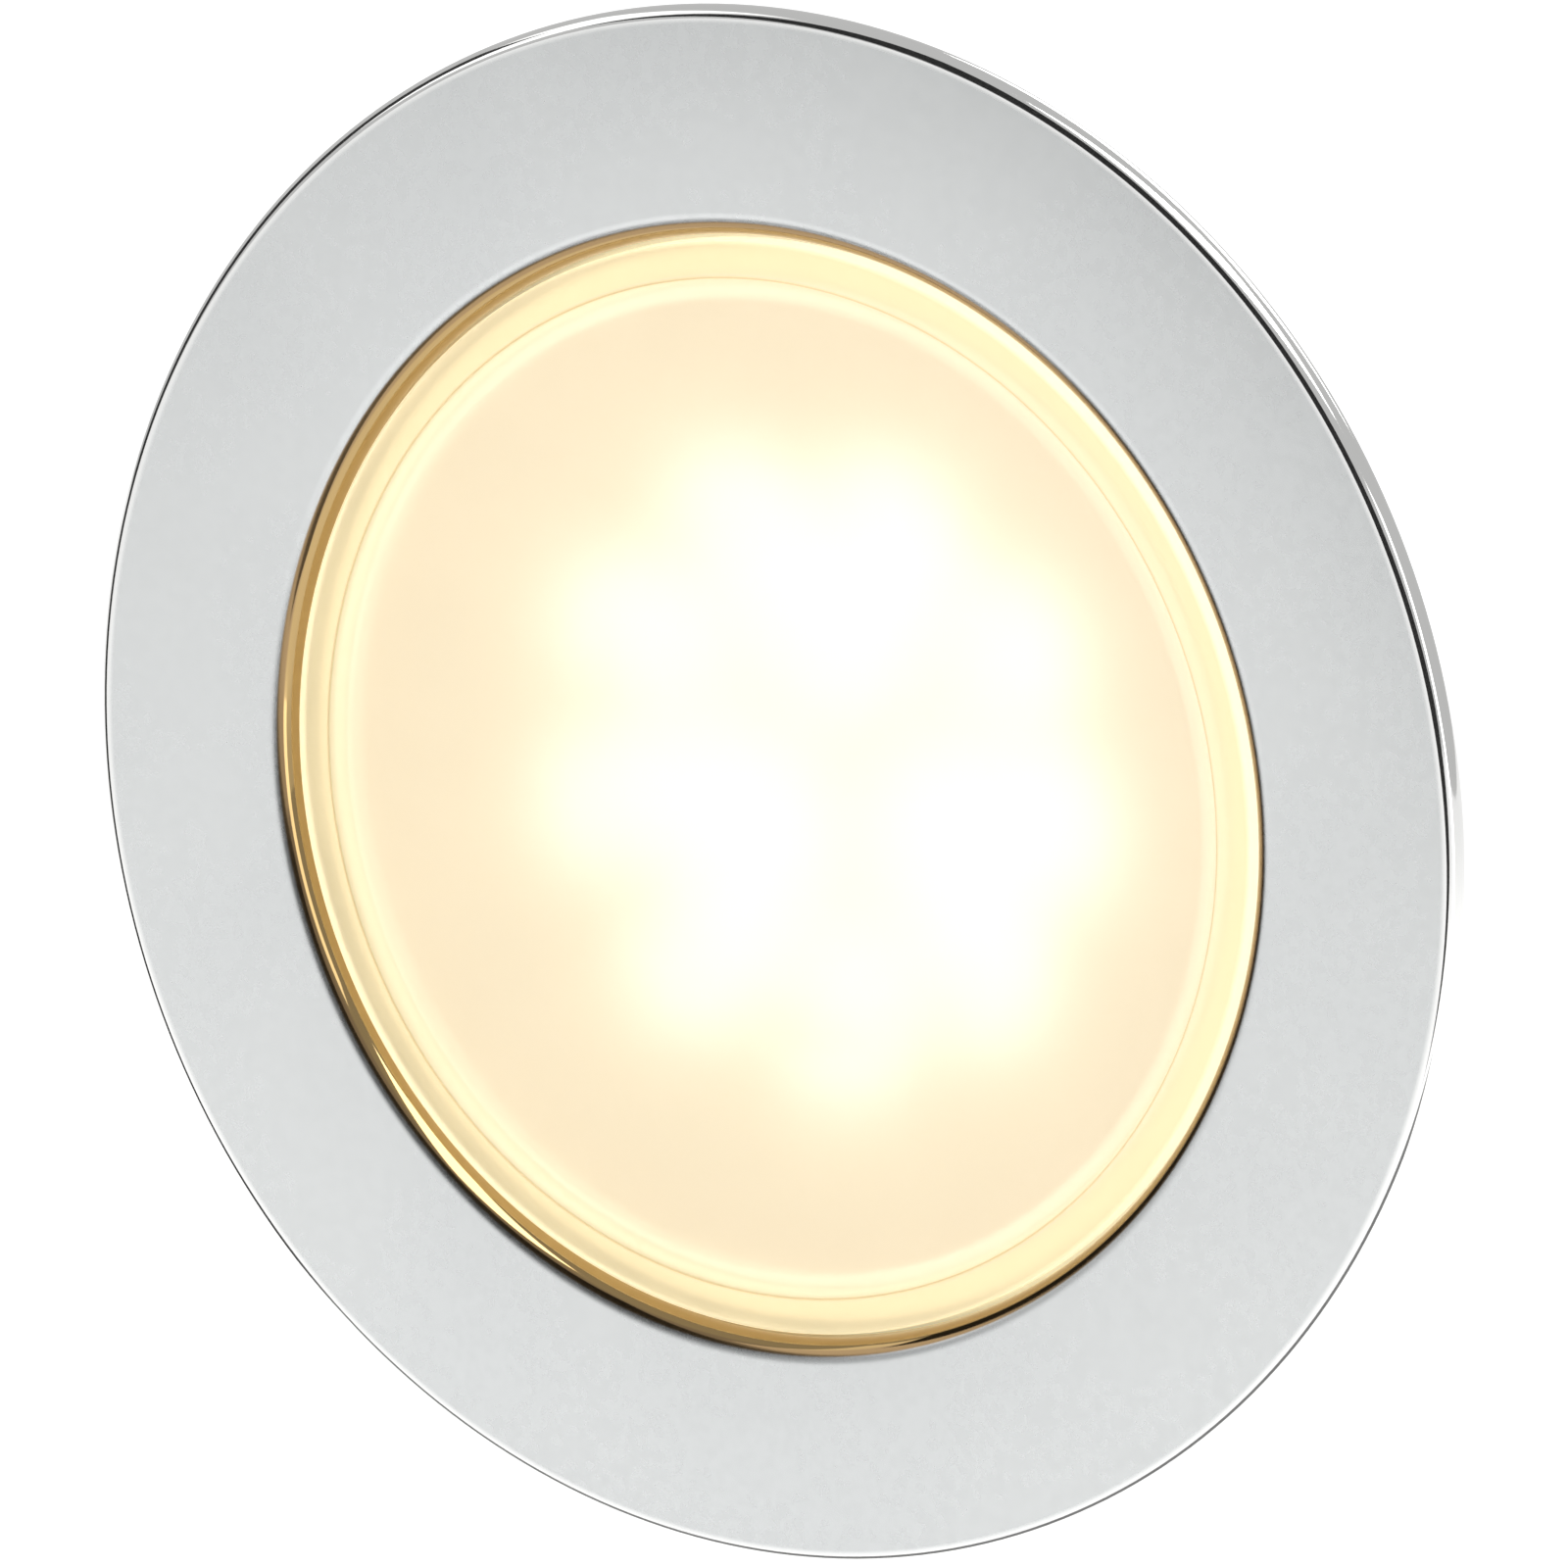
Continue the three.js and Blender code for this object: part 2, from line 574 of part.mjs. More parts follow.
// A shielded inductor: a square base and a round drum.
const inductorGeometry = (side, height) =>
  join(
    box(side, height * DRUM.base, side, 0, (-height * DRUM.base) / 2, 0),
    rod(side * DRUM.radius, -height, -height * DRUM.foot),
  );

// A two-way terminal with its wire holes facing +Z.
function terminalGeometry(length, width, height) {
  const hole = TERMINAL_HOLE;
  const holes = [-1, 1].map((side) =>
    box(length * hole.length, height * hole.height, width * hole.width,
      side * length * hole.side, -height / 2, width * hole.forward),
  );
  return cut(box(length, height, width, 0, -height / 2, 0), ...holes);
}

// Each part's name, its shape from its length, width and height, its material and its angle on the board.
const DRIVER_PARTS = [
  ["bridge_rectifier", chipGeometry(4.6, 2.6, 1.8, 2), MATERIALS.chipBlack, 238],
  ["surge_diode", chipGeometry(4.2, 2.2, 1.7, 1), MATERIALS.chipBlack, 188],
  ["driver_ic", chipGeometry(4.9, 2.4, 1.5, 4), MATERIALS.chipBlack, 128],
  ["power_inductor", inductorGeometry(3.8, 1.7), MATERIALS.ferrite, 158],
  ["input_capacitor", cappedGeometry(3.2, 1.8, 1.5), MATERIALS.ceramic, 172],
  ["output_capacitor", cappedGeometry(3.2, 1.8, 1.5), MATERIALS.ceramic, 62],
  ["sense_resistor_1", cappedGeometry(3.0, 1.5, 0.6), MATERIALS.chipBlack, 40],
  ["sense_resistor_2", cappedGeometry(3.0, 1.5, 0.6), MATERIALS.chipBlack, 28],
  ["wire_terminal", terminalGeometry(4.6, 3.0, DRIVER_HEIGHT), MATERIALS.whitePlastic, 302],
];

// ---- Spring clips. The right one is drawn in place, and the left one is it turned half round Y ----

// The clip's arm lies along u at rest. Its wire leaves the eyes on the v side, away from the body.
const tip = new THREE.Vector2(rimRadius - CLIP_TIP_INSET, sleeveRadius + 2 * SEAT);
const reach = tip.clone().sub(new THREE.Vector2(hingeRadius, hingeY));
const armLength = Math.sqrt(reach.lengthSq() - eyeRadius ** 2);
const armAngle = reach.angle() - Math.atan2(eyeRadius, armLength);
const u = new THREE.Vector3(Math.cos(armAngle), Math.sin(armAngle), 0);
const v = new THREE.Vector3(-u.y, u.x, 0);
const hinge = new THREE.Vector3(hingeRadius, hingeY, 0);
const clipPoint = (alongU, alongV, z) =>
  hinge.clone().addScaledVector(u, alongU).addScaledVector(v, alongV).setZ(z);

// A stamped bracket: a plate screwed to the back, a web down the body's side and two ears for the pin.
function bracketGeometry() {
  const webX = bodyRadius + FIT;
  const webEndY = hingeY - eyeRadius;
  const plateX = clipPlateEnd - CLIP_PLATE_LENGTH;
  const plateTop = backY + SEAT + CLIP_SHEET;
  const width = 2 * earOuterOffset;
  const plate = box(CLIP_PLATE_LENGTH, CLIP_SHEET, width, (plateX + clipPlateEnd) / 2,
    plateTop - CLIP_SHEET / 2, 0);
  const web = box(CLIP_SHEET, plateTop - webEndY, width, webX + CLIP_SHEET / 2,
    (plateTop + webEndY) / 2, 0);
  const earRadius = eyeOuterRadius - FIT;
  const ear = new THREE.Shape();
  ear.moveTo(webX, hingeY - eyeRadius);
  ear.lineTo(hingeRadius, hingeY - earRadius);
  ear.absarc(hingeRadius, hingeY, earRadius, -Math.PI / 2, Math.PI / 2, false);
  ear.lineTo(webX, hingeY + earRadius);
  ear.closePath();
  const ears = [-earOuterOffset, earInnerOffset].map((z) =>
    new THREE.ExtrudeGeometry(ear, { depth: CLIP_SHEET, bevelEnabled: false, curveSegments: EAR_STEPS })
      .translate(0, 0, z),
  );
  const pinHole = rod(CLIP_PIN_RADIUS + PIN_FIT, -width, width)
    .rotateX(Math.PI / 2)
    .translate(hingeRadius, hingeY, 0);
  const screwHoles = [-0.5, 0.5].map((end) =>
    rod(SCREW_RADIUS + PIN_FIT, backY - OVERCUT, plateTop + OVERCUT)
      .translate(clipScrewX, 0, end * clipScrewSpacing),
  );
  return cut(join(plate, web, ...ears), pinHole, ...screwHoles);
}

// The hinge pin, with a head outside each ear.
function pinGeometry() {
  const shoulder = earOuterOffset + SEAT;
  const end = shoulder + CLIP_PIN_HEAD;
  const headRadius = CLIP_PIN_RADIUS + CLIP_PIN_HEAD;
  return turned(
    [
      [0, -end],
      [headRadius, -end],
      [headRadius, -shoulder],
      [CLIP_PIN_RADIUS, -shoulder],
      [CLIP_PIN_RADIUS, shoulder],
      [headRadius, shoulder],
      [headRadius, end],
      [0, end],
    ],
    HOLE_SEGMENTS,
  )
    .rotateX(Math.PI / 2)
    .translate(hingeRadius, hingeY, 0);
}

// The arm's wire: an eye round the pin, a leg, the crossbar at the tip, and the same back again.
function armCurve() {
  const eye = Array.from({ length: EYE_STEPS + 1 }, (_, i) => {
    const angle = degrees(90 + CLIP_EYE_TURN * (1 - i / EYE_STEPS));
    return clipPoint(eyeRadius * Math.cos(angle), eyeRadius * Math.sin(angle), eyeOffset);
  });
  const bend = arc(armLength - CLIP_CORNER_RADIUS, eyeOffset - CLIP_CORNER_RADIUS,
    CLIP_CORNER_RADIUS, 90, 0, CORNER_STEPS).map(([alongU, z]) => clipPoint(alongU, eyeRadius, z));
  const half = [...eye, clipPoint(armLength * CLIP_LEG_SHARE, eyeRadius, eyeOffset), ...bend];
  const otherHalf = half.map((point) => point.clone().setZ(-point.z)).reverse();
  return new THREE.CatmullRomCurve3([...half, ...otherHalf], false, "centripetal");
}

function sleeveGeometry() {
  const halfLength = eyeOffset - CLIP_CORNER_RADIUS - CLIP_SLEEVE_GAP;
  const innerRadius = CLIP_WIRE_RADIUS + SEAT;
  const centre = clipPoint(armLength, eyeRadius, 0);
  const outline = [
    [innerRadius, -halfLength],
    [sleeveRadius, -halfLength],
    [sleeveRadius, halfLength],
    [innerRadius, halfLength],
  ];
  return turned(outline, HOLE_SEGMENTS).rotateX(Math.PI / 2).translate(centre.x, centre.y, 0);
}

// The torsion spring: a leg against the bracket's web, the coil round the pin, and a leg that runs
// along the arm and hooks over its wire.
function springCurve() {
  const halfRun = (SPRING_TURNS * SPRING_PITCH) / 2;
  const webFace = clipPlateEnd + SPRING_WIRE_RADIUS + SEAT;
  const lean = Math.atan2(hingeRadius - coilRadius - webFace, SPRING_FIXED_LEG);
  const startAngle = Math.PI + lean;
  const leg = new THREE.Vector3(-Math.sin(lean), Math.cos(lean), 0);
  const coilPoint = (angle, z) =>
    hinge.clone().add(new THREE.Vector3(Math.cos(angle), Math.sin(angle), 0)
      .multiplyScalar(coilRadius)).setZ(z);
  const start = coilPoint(startAngle, -halfRun);
  const fixedLeg = SPRING_FIXED_SHARES.map((share) =>
    start.clone().addScaledVector(leg, SPRING_FIXED_LEG * share),
  );
  const wanted = armAngle + Math.PI / 2; // where the coil's tangent lies along the arm
  const turn = startAngle - wanted;
  const wholeTurns = Math.round(SPRING_TURNS - turn / (2 * Math.PI));
  const sweep = -(turn + 2 * Math.PI * wholeTurns);
  const coilSteps = Math.round((Math.abs(sweep) / (2 * Math.PI)) * COIL_STEPS);
  const coil = Array.from({ length: coilSteps + 1 }, (_, i) =>
    coilPoint(startAngle + (sweep * i) / coilSteps, halfRun * ((2 * i) / coilSteps - 1)),
  );
  const overWire = eyeRadius + CLIP_WIRE_RADIUS + SPRING_WIRE_RADIUS + SEAT;
  const [near, middle, far] = SPRING_MOVING_SHARES.map((share) => SPRING_MOVING_LEG * share);
  const movingLeg = [
    clipPoint(near, coilRadius + SPRING_LEG_RISE, halfRun),
    clipPoint(middle, (coilRadius + overWire) / 2, halfRun),
    clipPoint(far, overWire, halfRun + SPRING_WIRE_RADIUS),
    clipPoint(SPRING_MOVING_LEG, overWire, eyeOffset),
    clipPoint(SPRING_MOVING_LEG, overWire, eyeOffset + CLIP_WIRE_RADIUS),
  ];
  return new THREE.CatmullRomCurve3([...fixedLeg, ...coil, ...movingLeg], false, "centripetal");
}

// ---- Assembly ----

place(lamp, "rim", rimGeometry(), MATERIALS.stainless);
place(lamp, "lens", lensGeometry(), MATERIALS.lens);
place(lamp, "lens_seal", sealGeometry(), MATERIALS.rubber);
place(lamp, "panel_gasket", gasketGeometry(), MATERIALS.rubber);
place(lamp, "body", bodyGeometry(), MATERIALS.casting);
place(lamp, "cable_grommet", grommetGeometry(), MATERIALS.rubber, 0, 0, inletZ);
place(lamp, "reflector", reflectorGeometry(), MATERIALS.whitePlastic);

place(lamp, "led_board", boardLayer(boardRadius, BOARD_THICKNESS), MATERIALS.solderMask,
  0, boardY, 0);
place(lamp, "thermal_pad", boardLayer(boardRadius - PAD_INSET, PAD_THICKNESS - SEAT),
  MATERIALS.padGrey, 0, boardY + BOARD_THICKNESS + SEAT / 2, 0);

let ledNumber = 0;
for (const { count, radius, firstAngle } of LED_RINGS) {
  for (let i = 0; i < count; i += 1) {
    const angle = firstAngle + (360 / count) * i;
    const [x, z] = around(radius, angle);
    ledNumber += 1;
    const name = `led_${String(ledNumber).padStart(2, "0")}`;
    place(lamp, name, ledGeometry(), MATERIALS.phosphor, x, boardY - SEAT / 2, z, -degrees(angle));
  }
}

boardScrewPlaces.forEach(([x, z], i) => {
  const shank = BOARD_THICKNESS + PAD_THICKNESS + screwBite - 2 * SEAT;
  const screw = place(lamp, `board_screw_${i + 1}`, screwGeometry(shank), MATERIALS.bracketSteel,
    x, boardY - SEAT / 2, z);
  screw.rotation.x = Math.PI;
});

const driverRadius = boardRadius - DRIVER_INSET;
for (const [name, geometry, material, angle] of DRIVER_PARTS) {
  const [x, z] = around(driverRadius, angle);
  place(lamp, name, geometry, material, x, boardY - SEAT / 2, z, degrees(90 - angle));
}

[["right", 0], ["left", Math.PI]].forEach(([side, turn]) => {
  const clip = new THREE.Group();
  clip.rotation.y = turn;
  lamp.add(clip);
  place(clip, `clip_bracket_${side}`, bracketGeometry(), MATERIALS.bracketSteel);
  place(clip, `clip_pin_${side}`, pinGeometry(), MATERIALS.bracketSteel);
  place(clip, `clip_arm_${side}`, wire(armCurve(), CLIP_WIRE_RADIUS, ARM_SECTIONS),
    MATERIALS.springSteel);
  place(clip, `clip_sleeve_${side}`, sleeveGeometry(), MATERIALS.sleeve);
  place(clip, `clip_spring_${side}`, wire(springCurve(), SPRING_WIRE_RADIUS, SPRING_SECTIONS),
    MATERIALS.springSteel);
  [-0.5, 0.5].forEach((end, i) => {
    const shank = CLIP_SHEET + screwBite - SEAT;
    place(clip, `clip_screw_${side}_${i + 1}`, screwGeometry(shank), MATERIALS.bracketSteel,
      clipScrewX, backY + CLIP_SHEET + 2 * SEAT, end * clipScrewSpacing);
  });
});

export default lamp;
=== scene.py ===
import json
import math

import bmesh
import bpy
from mathutils import Matrix, Vector


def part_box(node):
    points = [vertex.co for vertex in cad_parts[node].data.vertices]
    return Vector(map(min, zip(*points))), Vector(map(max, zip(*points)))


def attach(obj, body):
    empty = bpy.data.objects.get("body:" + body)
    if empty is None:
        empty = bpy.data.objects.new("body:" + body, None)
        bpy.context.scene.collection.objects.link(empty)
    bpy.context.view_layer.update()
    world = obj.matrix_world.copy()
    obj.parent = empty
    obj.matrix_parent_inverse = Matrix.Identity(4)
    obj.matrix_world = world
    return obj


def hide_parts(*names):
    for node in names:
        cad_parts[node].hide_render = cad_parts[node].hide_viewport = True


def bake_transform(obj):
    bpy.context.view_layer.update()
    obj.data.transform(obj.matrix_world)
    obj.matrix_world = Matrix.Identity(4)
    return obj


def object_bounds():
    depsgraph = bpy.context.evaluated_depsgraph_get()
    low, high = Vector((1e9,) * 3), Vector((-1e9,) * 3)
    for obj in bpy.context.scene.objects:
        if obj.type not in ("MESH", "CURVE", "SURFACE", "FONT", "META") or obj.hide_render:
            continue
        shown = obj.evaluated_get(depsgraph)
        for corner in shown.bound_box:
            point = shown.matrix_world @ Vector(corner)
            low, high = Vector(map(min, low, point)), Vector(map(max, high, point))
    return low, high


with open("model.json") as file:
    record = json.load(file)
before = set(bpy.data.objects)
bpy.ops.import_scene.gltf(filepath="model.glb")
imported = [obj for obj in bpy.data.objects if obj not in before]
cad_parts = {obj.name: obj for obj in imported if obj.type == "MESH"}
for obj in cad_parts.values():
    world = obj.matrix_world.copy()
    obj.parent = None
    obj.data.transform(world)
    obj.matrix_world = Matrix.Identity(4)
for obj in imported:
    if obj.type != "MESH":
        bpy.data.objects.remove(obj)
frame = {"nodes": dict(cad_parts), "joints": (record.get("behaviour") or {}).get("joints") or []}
cad_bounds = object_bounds()

MM = 0.001

# ---- Chosen sizes in millimetres. Y runs from the front to the back ----

SEAT = 0.1  # between faces that rest on each other
FIT = 0.3  # between nested rings

LENS_RADIUS = 33.3
LENS_BAND_WIDTH = 2.25
LENS_DISH = 0.6
LENS_FILLET = 1.2
LENS_EDGE = 0.3
LENS_FLANGE = 1.0

RIM_SHEET = 0.5
RIM_LIP_RADIUS = 1.5
RIM_EDGE_RADIUS = 0.8
RIM_END = 0.15
RIM_CRIMP_REACH = 1.2  # the rim's turned end lies within this of its edge

COLLAR_WALL = 1.1
BODY_WALL = 2.2
BODY_CHAMFER = 0.8
FLANGE_FRONT_CHAMFER = 0.3
FLANGE_BACK_CHAMFER = 0.7
FIN_SPAN = 30.0
FIN_COUNT = 7
FIN_THICKNESS = 1.4
FIN_MARGIN = 3.2
FIN_BITE = 0.6
FIN_ROUNDING = 0.35

FOOT_LIP_WIDTH = 1.9
FOOT_LIP_THICKNESS = 0.3

BORE_RADIUS = 3.1
NECK_RADIUS = 4.0
GROMMET_LIP = 0.9

SCREW_RADIUS = 1.25
SCREW_HEAD_RADIUS = 2.2
SCREW_HEAD_HEIGHT = 1.4
SCREW_HEAD_EDGE = 0.45
SCREW_HEAD_CHAMFER = 0.08
SCREW_BITE = 1.95
SLOT_LENGTH = 2.42
SLOT_WIDTH = 0.5625
SLOT_BOTTOM = 0.56

CLIP_SHEET = 0.8
BEND_RADIUS = 0.9
EYE_RADIUS = 1.8
EYE_OFFSET = 3.6
EYE_TURN = 300  # degrees
PIN_RADIUS = 0.9
PIN_HOLE_RADIUS = 1.1
PIN_HEAD = 0.6
WIRE_RADIUS = 0.7
CORNER_RADIUS = 1.2
COIL_RADIUS = 1.5
COIL_WIRE_RADIUS = 0.4
COIL_TURNS = 5
COIL_PITCH = 0.88
FIXED_LEG = 3.1
MOVING_LEG = 5.0

# ---- Sizes from the frame, in millimetres ----


def measure(length):
    """A length from the frame in millimetres, without the file's rounding noise."""
    return round(length / MM, 4)


def corners(node):
    return [[measure(value) for value in corner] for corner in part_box(node)]


def middle(node):
    low, high = corners(node)
    return [(a + b) / 2 for a, b in zip(low, high)]


def ring(node, inside=0.0, outside=math.inf):
    """Least and greatest radius about Y, and least and greatest y, of a node's points in a range of radii."""
    places = [v.co for v in frame["nodes"][node].data.vertices]
    points = [(measure(math.hypot(p.x, p.z)), measure(p.y)) for p in places]
    radii, heights = zip(*[(r, y) for r, y in points if inside <= r <= outside])
    return min(radii), max(radii), min(heights), max(heights)


def heights_at(node, radius):
    """Least and greatest y of a node's points at one radius."""
    return ring(node, radius - SEAT / 2, radius + SEAT / 2)[2:]


def ring_of_leds(node, count):
    """A ring's number of LEDs, its radius and the angle of its first LED in radians."""
    x, _, z = middle(node)
    return count, math.hypot(x, z), math.atan2(z, x)


APERTURE, RIM_RADIUS, FACE_Y, WALL_END = ring("rim")
CRIMP_RADIUS, _, _, RIM_BACK = ring("rim", inside=RIM_RADIUS - RIM_CRIMP_REACH)
FACE_START = APERTURE + RIM_LIP_RADIUS
FACE_END = RIM_RADIUS - RIM_EDGE_RADIUS

_, LENS_FLANGE_RADIUS, LENS_BAND, LENS_BACK = ring("lens")
DISC_RADIUS = LENS_RADIUS - LENS_BAND_WIDTH
THROAT_RADIUS, REFLECTOR_RADIUS, REFLECTOR_FRONT, THROAT_END = ring("reflector")
REFLECTOR_CONE = heights_at("reflector", REFLECTOR_RADIUS)[1]
LED_RINGS = (ring_of_leds("led_01", 9), ring_of_leds("led_10", 3))
LED_RING_RADIUS = LED_RINGS[0][1]

HINGE = Vector(next(j for j in frame["joints"] if j["name"] == "clip_right_fold")["pos_m"]) / MM
(PLATE_START, _, _), (EAR_TIP, PLATE_BACK, EAR_OUTSIDE) = corners("clip_bracket_right")
EAR_INSIDE = EAR_OUTSIDE - CLIP_SHEET
EAR_RADIUS = EAR_TIP - HINGE.x
PLATE_END = HINGE.x - EYE_RADIUS - WIRE_RADIUS - FIT
CLIP_SCREW_X, _, CLIP_SCREW_Z = middle("clip_screw_right_2")

SLEEVE_X, SLEEVE_Y, _ = middle("clip_sleeve_right")
SLEEVE_END_X, _, SLEEVE_HALF = corners("clip_sleeve_right")[1]
SLEEVE_RADIUS = SLEEVE_END_X - SLEEVE_X
ARM_REACH = math.hypot(SLEEVE_X - HINGE.x, SLEEVE_Y - HINGE.y)
ARM_LENGTH = math.sqrt(ARM_REACH ** 2 - EYE_RADIUS ** 2)
ARM_ANGLE = math.atan2(SLEEVE_Y - HINGE.y, SLEEVE_X - HINGE.x) - math.atan2(EYE_RADIUS, ARM_LENGTH)

BACK = PLATE_BACK - CLIP_SHEET - SEAT
FIN_BACK = corners("body")[1][1]
BODY_RADIUS = PLATE_END - CLIP_SHEET - FIT
TAPER_END = heights_at("body", BODY_RADIUS)[0]
CHAMBER_RADIUS = BODY_RADIUS - BODY_WALL
SHOULDER, FLOOR = heights_at("body", CHAMBER_RADIUS)
SHELF = LENS_BACK + SEAT / 2
SHELF_RADIUS = REFLECTOR_RADIUS + FIT
SEAL_START, SEAL_END, _, _ = ring("lens_seal")
GROOVE_BACK = LENS_BACK + SEAL_END - SEAL_START + 2 * SEAT
POCKET_RADIUS = LENS_FLANGE_RADIUS + FIT
COLLAR_RADIUS = POCKET_RADIUS + COLLAR_WALL
COLLAR_END = heights_at("body", COLLAR_RADIUS)[1]
_, FLANGE_RADIUS, FLANGE_FRONT, FLANGE_BACK = ring("body", inside=COLLAR_RADIUS + 1)
INLET_Z = middle("cable_grommet")[2]
FIN_BOTTOM = INLET_Z + NECK_RADIUS + GROMMET_LIP + FIN_MARGIN

# ---- Mesh helpers ----

RING_SEGMENTS = 256
BODY_SEGMENTS = 192
GROMMET_SEGMENTS = 96
SCREW_SEGMENTS = 64
HOLE_SEGMENTS = 48
EYE_STEPS = 40
COIL_STEPS = 28  # for each turn
ON_AXIS = 1e-6
WELD_DISTANCE = 1e-4
OVERCUT = 1.0  # how far a cutting tool runs past a face
CREASE_ANGLE = math.radians(35)
LENS_CREASE_ANGLE = math.radians(25)
BEVEL_ANGLE = math.radians(40)


def arc(x, y, radius, start, end, steps):
    angles = [math.radians(start + (end - start) * i / steps) for i in range(steps + 1)]
    return [(x + radius * math.cos(a), y + radius * math.sin(a)) for a in angles]


def eased(outline, radius, steps=4):
    """An outline with small curves for corners, each under half a side. Points on the axis stay."""
    points = [Vector(p) for p in outline]
    line = []
    for before, point, after in zip(points[-1:] + points[:-1], points, points[1:] + points[:1]):
        if point.x < ON_AXIS:
            line.append(tuple(point))
            continue
        start, end = (point + (other - point).normalized() * min(radius, 0.45 * (other - point).length)
                      for other in (before, after))
        for i in range(steps + 1):
            t = i / steps
            line.append(tuple(start * (1 - t) ** 2 + point * 2 * t * (1 - t) + end * t * t))
    return line


def to_mesh(work):
    bmesh.ops.recalc_face_normals(work, faces=work.faces)
    mesh = bpy.data.meshes.new("shape")
    work.to_mesh(mesh)
    work.free()
    return mesh


def turned(profile, segments=RING_SEGMENTS):
    """A solid about Y from (radius, y) points, once round. A point on the axis becomes one vertex."""
    work = bmesh.new()
    turns = [2 * math.pi * i / segments for i in range(segments)]
    rings = []
    for radius, y in profile:
        if radius < ON_AXIS:
            rings.append([work.verts.new((0, y, 0))])
        else:
            rings.append([work.verts.new((radius * math.cos(t), y, radius * math.sin(t))) for t in turns])
    for near, far in zip(rings, rings[1:] + rings[:1]):
        if len(near) == 1 and len(far) == 1:
            continue
        for i in range(segments):
            j = (i + 1) % segments
            quad = [near[i % len(near)], near[j % len(near)], far[j % len(far)], far[i % len(far)]]
            work.faces.new(list(dict.fromkeys(quad)))
    return to_mesh(work)


def slab(outline, z_low, z_high):
    """An outline in X and Y, given thickness along Z."""
    work = bmesh.new()
    base = work.faces.new([work.verts.new((x, y, z_low)) for x, y in outline])
    grown = bmesh.ops.extrude_face_region(work, geom=[base])
    raised = [v for v in grown["geom"] if isinstance(v, bmesh.types.BMVert)]
    bmesh.ops.translate(work, verts=raised, vec=(0, 0, z_high - z_low))
    return to_mesh(work)


def block(low, high, rounding=0.0):
    work = bmesh.new()
    bmesh.ops.create_cube(work, size=1)
    bmesh.ops.scale(work, verts=work.verts, vec=[h - l for l, h in zip(low, high)])
    bmesh.ops.translate(work, verts=work.verts, vec=[(h + l) / 2 for l, h in zip(low, high)])
    if rounding:
        bmesh.ops.bevel(work, geom=work.edges[:], offset=rounding, segments=3, profile=0.5, affect="EDGES")
    return to_mesh(work)


def wire(points, radius):
    """Round wire with closed ends along a line of points."""
    curve = bpy.data.curves.new("wire", "CURVE")
    curve.dimensions = "3D"
    curve.bevel_depth = radius
    curve.bevel_resolution = 5
    curve.use_fill_caps = True
    spline = curve.splines.new("POLY")
    spline.points.add(len(points) - 1)
    for point, place in zip(spline.points, points):
        point.co = (*place, 1)
    holder = bpy.data.objects.new("wire", curve)
    mesh = bpy.data.meshes.new_from_object(holder)
    bpy.data.objects.remove(holder)
    work = bmesh.new()
    work.from_mesh(mesh)
    bmesh.ops.remove_doubles(work, verts=work.verts, dist=WELD_DISTANCE)
    return to_mesh(work)


def smooth_line(points, steps):
    """A centripetal Catmull-Rom line through points."""
    ends = [2 * points[0] - points[1], *points, 2 * points[-1] - points[-2]]
    line = []
    for a, b, c, d in zip(ends, ends[1:], ends[2:], ends[3:]):
        first, middle, last = ((q - p).length ** 0.5 for p, q in ((a, b), (b, c), (c, d)))
        leave = ((b - a) / first - (c - a) / (first + middle) + (c - b) / middle) * middle
        arrive = ((c - b) / middle - (d - b) / (middle + last) + (d - c) / last) * middle
        for i in range(steps):
            t = i / steps
            line.append(b + leave * t + (3 * (c - b) - 2 * leave - arrive) * t ** 2
                        + (2 * (b - c) + leave + arrive) * t ** 3)
    return [*line, points[-1]]


def modified(mesh, others=(), **settings):
    """A mesh after one modifier for each tool mesh, or after one modifier with no tool."""
    holder = bpy.data.objects.new("holder", mesh)
    bpy.context.scene.collection.objects.link(holder)
    tools = [bpy.data.objects.new("tool", other) for other in others]
    for tool in tools or [None]:
        modifier = holder.modifiers.new("step", "BOOLEAN" if tool else "BEVEL")
        if tool:
            bpy.context.scene.collection.objects.link(tool)
            modifier.object = tool
        for key, value in settings.items():
            setattr(modifier, key, value)
    result = bpy.data.meshes.new_from_object(holder.evaluated_get(bpy.context.evaluated_depsgraph_get()))
    for extra in [holder, *tools]:
        bpy.data.objects.remove(extra)
    return result


def joined(mesh, *others):
    return modified(mesh, others, operation="UNION", solver="EXACT")


def cut(mesh, *others):
    return modified(mesh, others, operation="DIFFERENCE", solver="EXACT")


def bevelled(mesh, width):
    return modified(mesh, width=width, segments=3, limit_method="ANGLE", angle_limit=BEVEL_ANGLE)


def moved(mesh, matrix):
    copy = mesh.copy()
    copy.transform(matrix)
    return copy


def uneven(mesh):
    """Turns a mesh a little about Y, so that its edges don't run through the middle of a cut."""
    return moved(mesh, Matrix.Rotation(math.radians(0.37), 4, "Y"))


def about_z(mesh):
    """Turns a mesh made about Y so that it lies about Z."""
    return moved(mesh, Matrix.Rotation(math.pi / 2, 4, "X"))


def add_piece(name, mesh, material, nodes, body="lamp", crease=CREASE_ANGLE):
    """A smooth piece with sharp creases, in place of CAD nodes, on a body and with its material's slot."""
    mesh.transform(Matrix.Scale(MM, 4))
    mesh.shade_smooth()
    mesh.set_sharp_from_angle(angle=crease)
    mesh.materials.clear()
    mesh.materials.append(material)
    piece = bpy.data.objects.new(name, mesh)
    bpy.context.scene.collection.objects.link(piece)
    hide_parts(*nodes)
    if body:
        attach(piece, body)
    return piece


def paint(material, *nodes):
    """Gives kept CAD nodes a material."""
    for node in nodes:
        mesh = frame["nodes"][node].data
        mesh.materials.clear()
        mesh.materials.append(material)


# ---- Material helper ----


